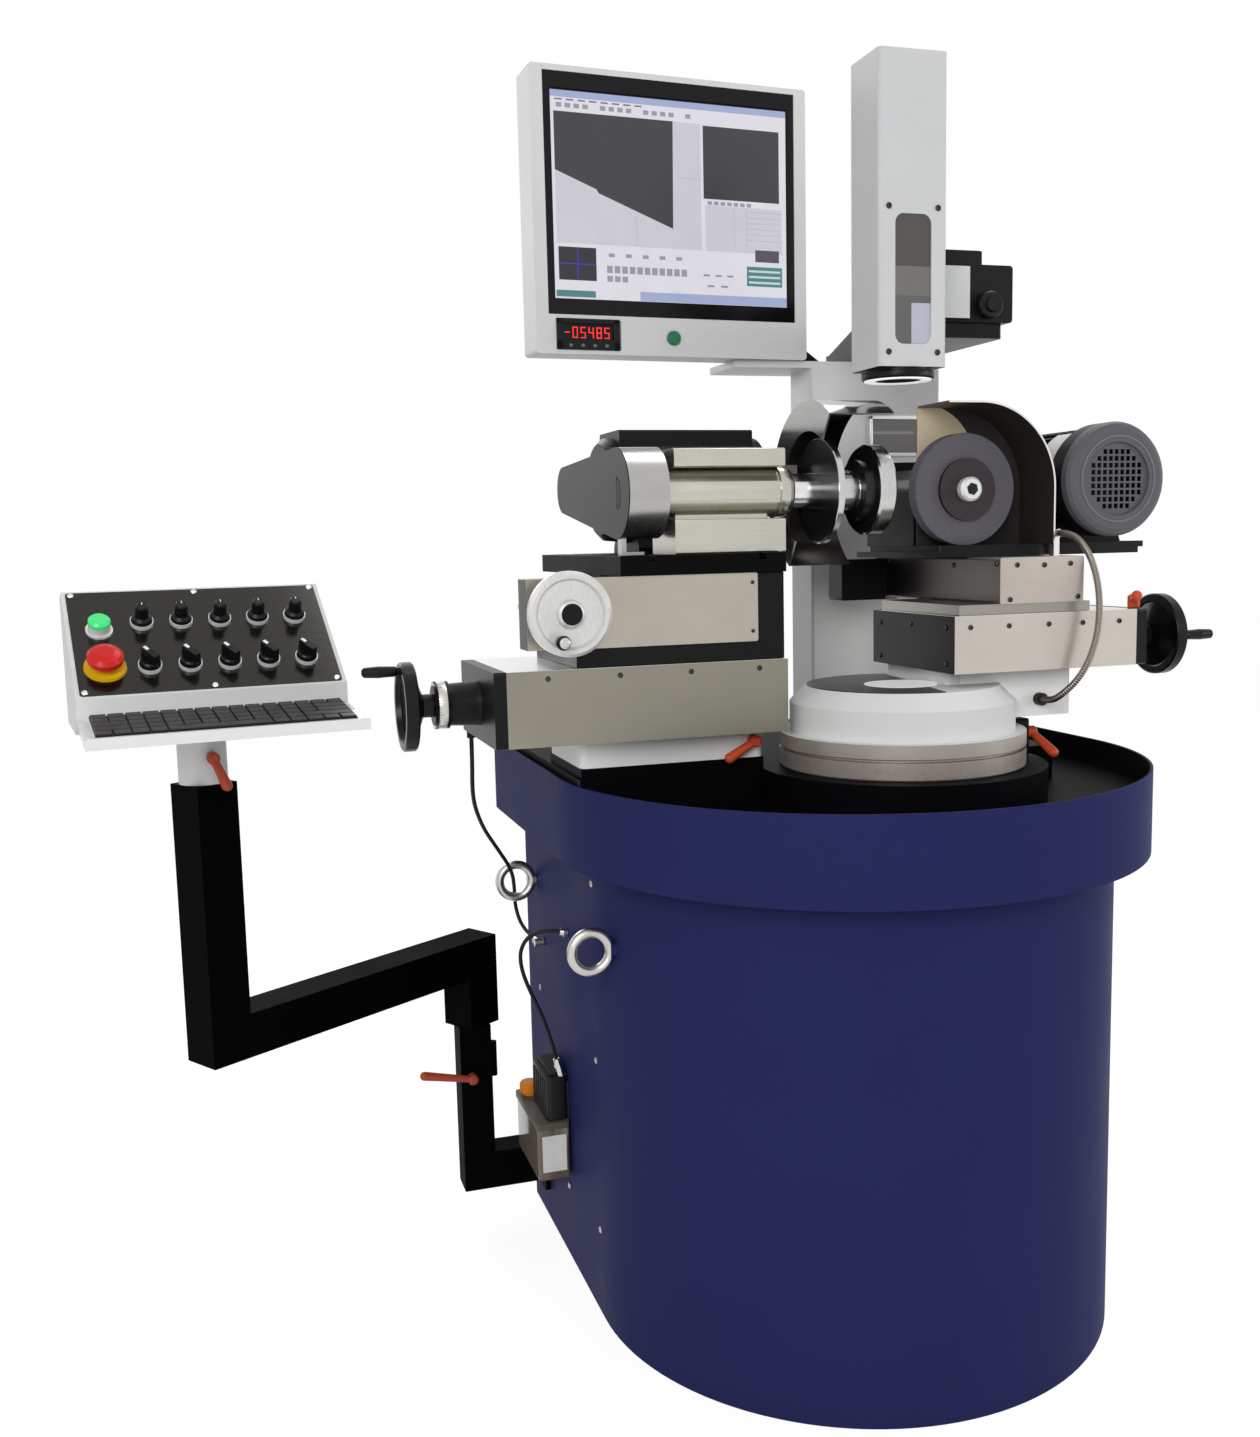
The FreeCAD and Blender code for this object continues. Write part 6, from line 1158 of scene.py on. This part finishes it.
def lubricator_unit():
    """Clear oil tank with a lid, pump, filler cap, wall plate and bare label."""
    x0, x1 = LUBE_X
    y0, y1 = LUBE_Y
    foot, top = LUBE_Z
    lid_top = top + 0.010
    clear = Surface("tank_clear", srgb(204, 194, 178), 0.12)
    clear.vary(clear.noise(20), 0.03).set(Transmission_Weight=0.85, IOR=1.35)

    def tank(bm):
        slab(bm, round_rect(x0, x1, y0, y1, 0.006), foot, top)
        slab(bm, round_rect(x0, x1, y0, y1, 0.004, TANK_WALL), foot + TANK_WALL, top - 0.0005)
    shell = piece("oil_tank", "base", tank, clear)
    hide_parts("lubricator")
    oil = Surface("oil_brown", srgb(86, 56, 34), 0.2)
    oil.vary(oil.noise(25), 0.12)
    inner = round_rect(x0, x1, y0, y1, 0.004, 0.003)
    sheet_piece("oil_fill", "base", inner, foot + 0.003, foot + 0.048, oil)
    grey = moulded("lid_grey", srgb(92, 86, 78), 0.4)
    outline = round_rect(x0 - 0.002, x1, y0 - 0.002, y1 + 0.002, 0.006)
    sheet_piece("tank_lid", "base", outline, top, lid_top, grey, 0.0012)

    def pump(bm):
        slab(bm, round_rect(x0 + 0.016, x1, 0.284, 0.376, 0.008), lid_top, top + 0.078)
        slab(bm, round_rect(x0 + 0.022, x1 - 0.003, 0.290, 0.368, 0.006), top + 0.078, top + 0.084)
        for i in range(6):
            y = 0.292 + 0.0135 * i
            block(bm, (x0 + 0.0145, y, top + 0.020), (x0 + 0.0165, y + 0.006, top + 0.070))
    piece("lube_pump", "base", pump, moulded("pump_black", srgb(26, 26, 28), 0.42), 0.0008)

    def outlet(bm):
        heading = Vector(HOSE_LOWER[1]) - Vector(HOSE_LOWER[0])
        base = Vector(HOSE_LOWER[0]) - heading.normalized() * 0.030
        nozzle = [(0, 0), (0, 0.006), (0.020, 0.006), (0.022, 0.0048), (0.0305, 0.0048), (0.0305, 0)]
        lathe(bm, nozzle, base, heading, 6)
        plug = [(0, 0), (0, 0.007), (0.006, 0.007), (0.008, 0.005), (0.008, 0)]
        lathe(bm, plug, (x0 + 0.026, 0.385, lid_top), (0, 0, 1), 16)
    piece("pump_outlet", "base", outlet, turned_metal("pump_fitting", STEEL))

    def cap(bm):
        base = (x0 + 0.017, y1 - 0.021, lid_top)
        profile = [(0, 0), (0, 0.012), (0.004, 0.012), (0.004, 0.015), (0.018, 0.015),
                   (0.020, 0.013), (0.020, 0)]
        lathe(bm, profile, base, (0, 0, 1), 20)
        for i in range(20):
            turn = placed(base, 2 * math.pi * i / 20, "Z")
            block(bm, (0.0145, -0.0009, 0.005), (0.0156, 0.0009, 0.017), turn)
    piece("filler_cap", "base", cap, moulded("cap_amber", srgb(222, 132, 30), 0.35))
    paper = moulded("label_white", srgb(226, 226, 222), 0.5)
    low = (x0 + 0.006, y0 - 0.0006, foot + 0.012)
    box_piece("tank_label", "base", low, (x1 - 0.006, y0 + 0.0002, top - 0.010), paper, 0.0002)
    plate = powder_coat("lube_plate", srgb(60, 60, 64))
    low = (x1, y0 + 0.014, foot + 0.010)
    box_piece("lube_plate", "base", low, (x1 + 0.003, y1 - 0.014, top + 0.064), plate, 0.0006)


finish_stand()
finish_work_unit()
finish_dress_unit()
finish_optics()
finish_console()
round_edges()
slide_screws()
turntable_dark_reflection()
dial_marks()
belt_cover_slot()
wheel_nut()
cowl_ring()
motor_plate()
monitor_picture()
panel_meter()
camera_details()
column_window()
console_panel()
keyboard()
lubricator_unit()
make_camera()
make_light()
make_floor()
make_hose("hose_upper", "lube_hose_upper", HOSE_UPPER)
make_hose("hose_lower", "lube_hose_lower", HOSE_LOWER)
make_conduit()
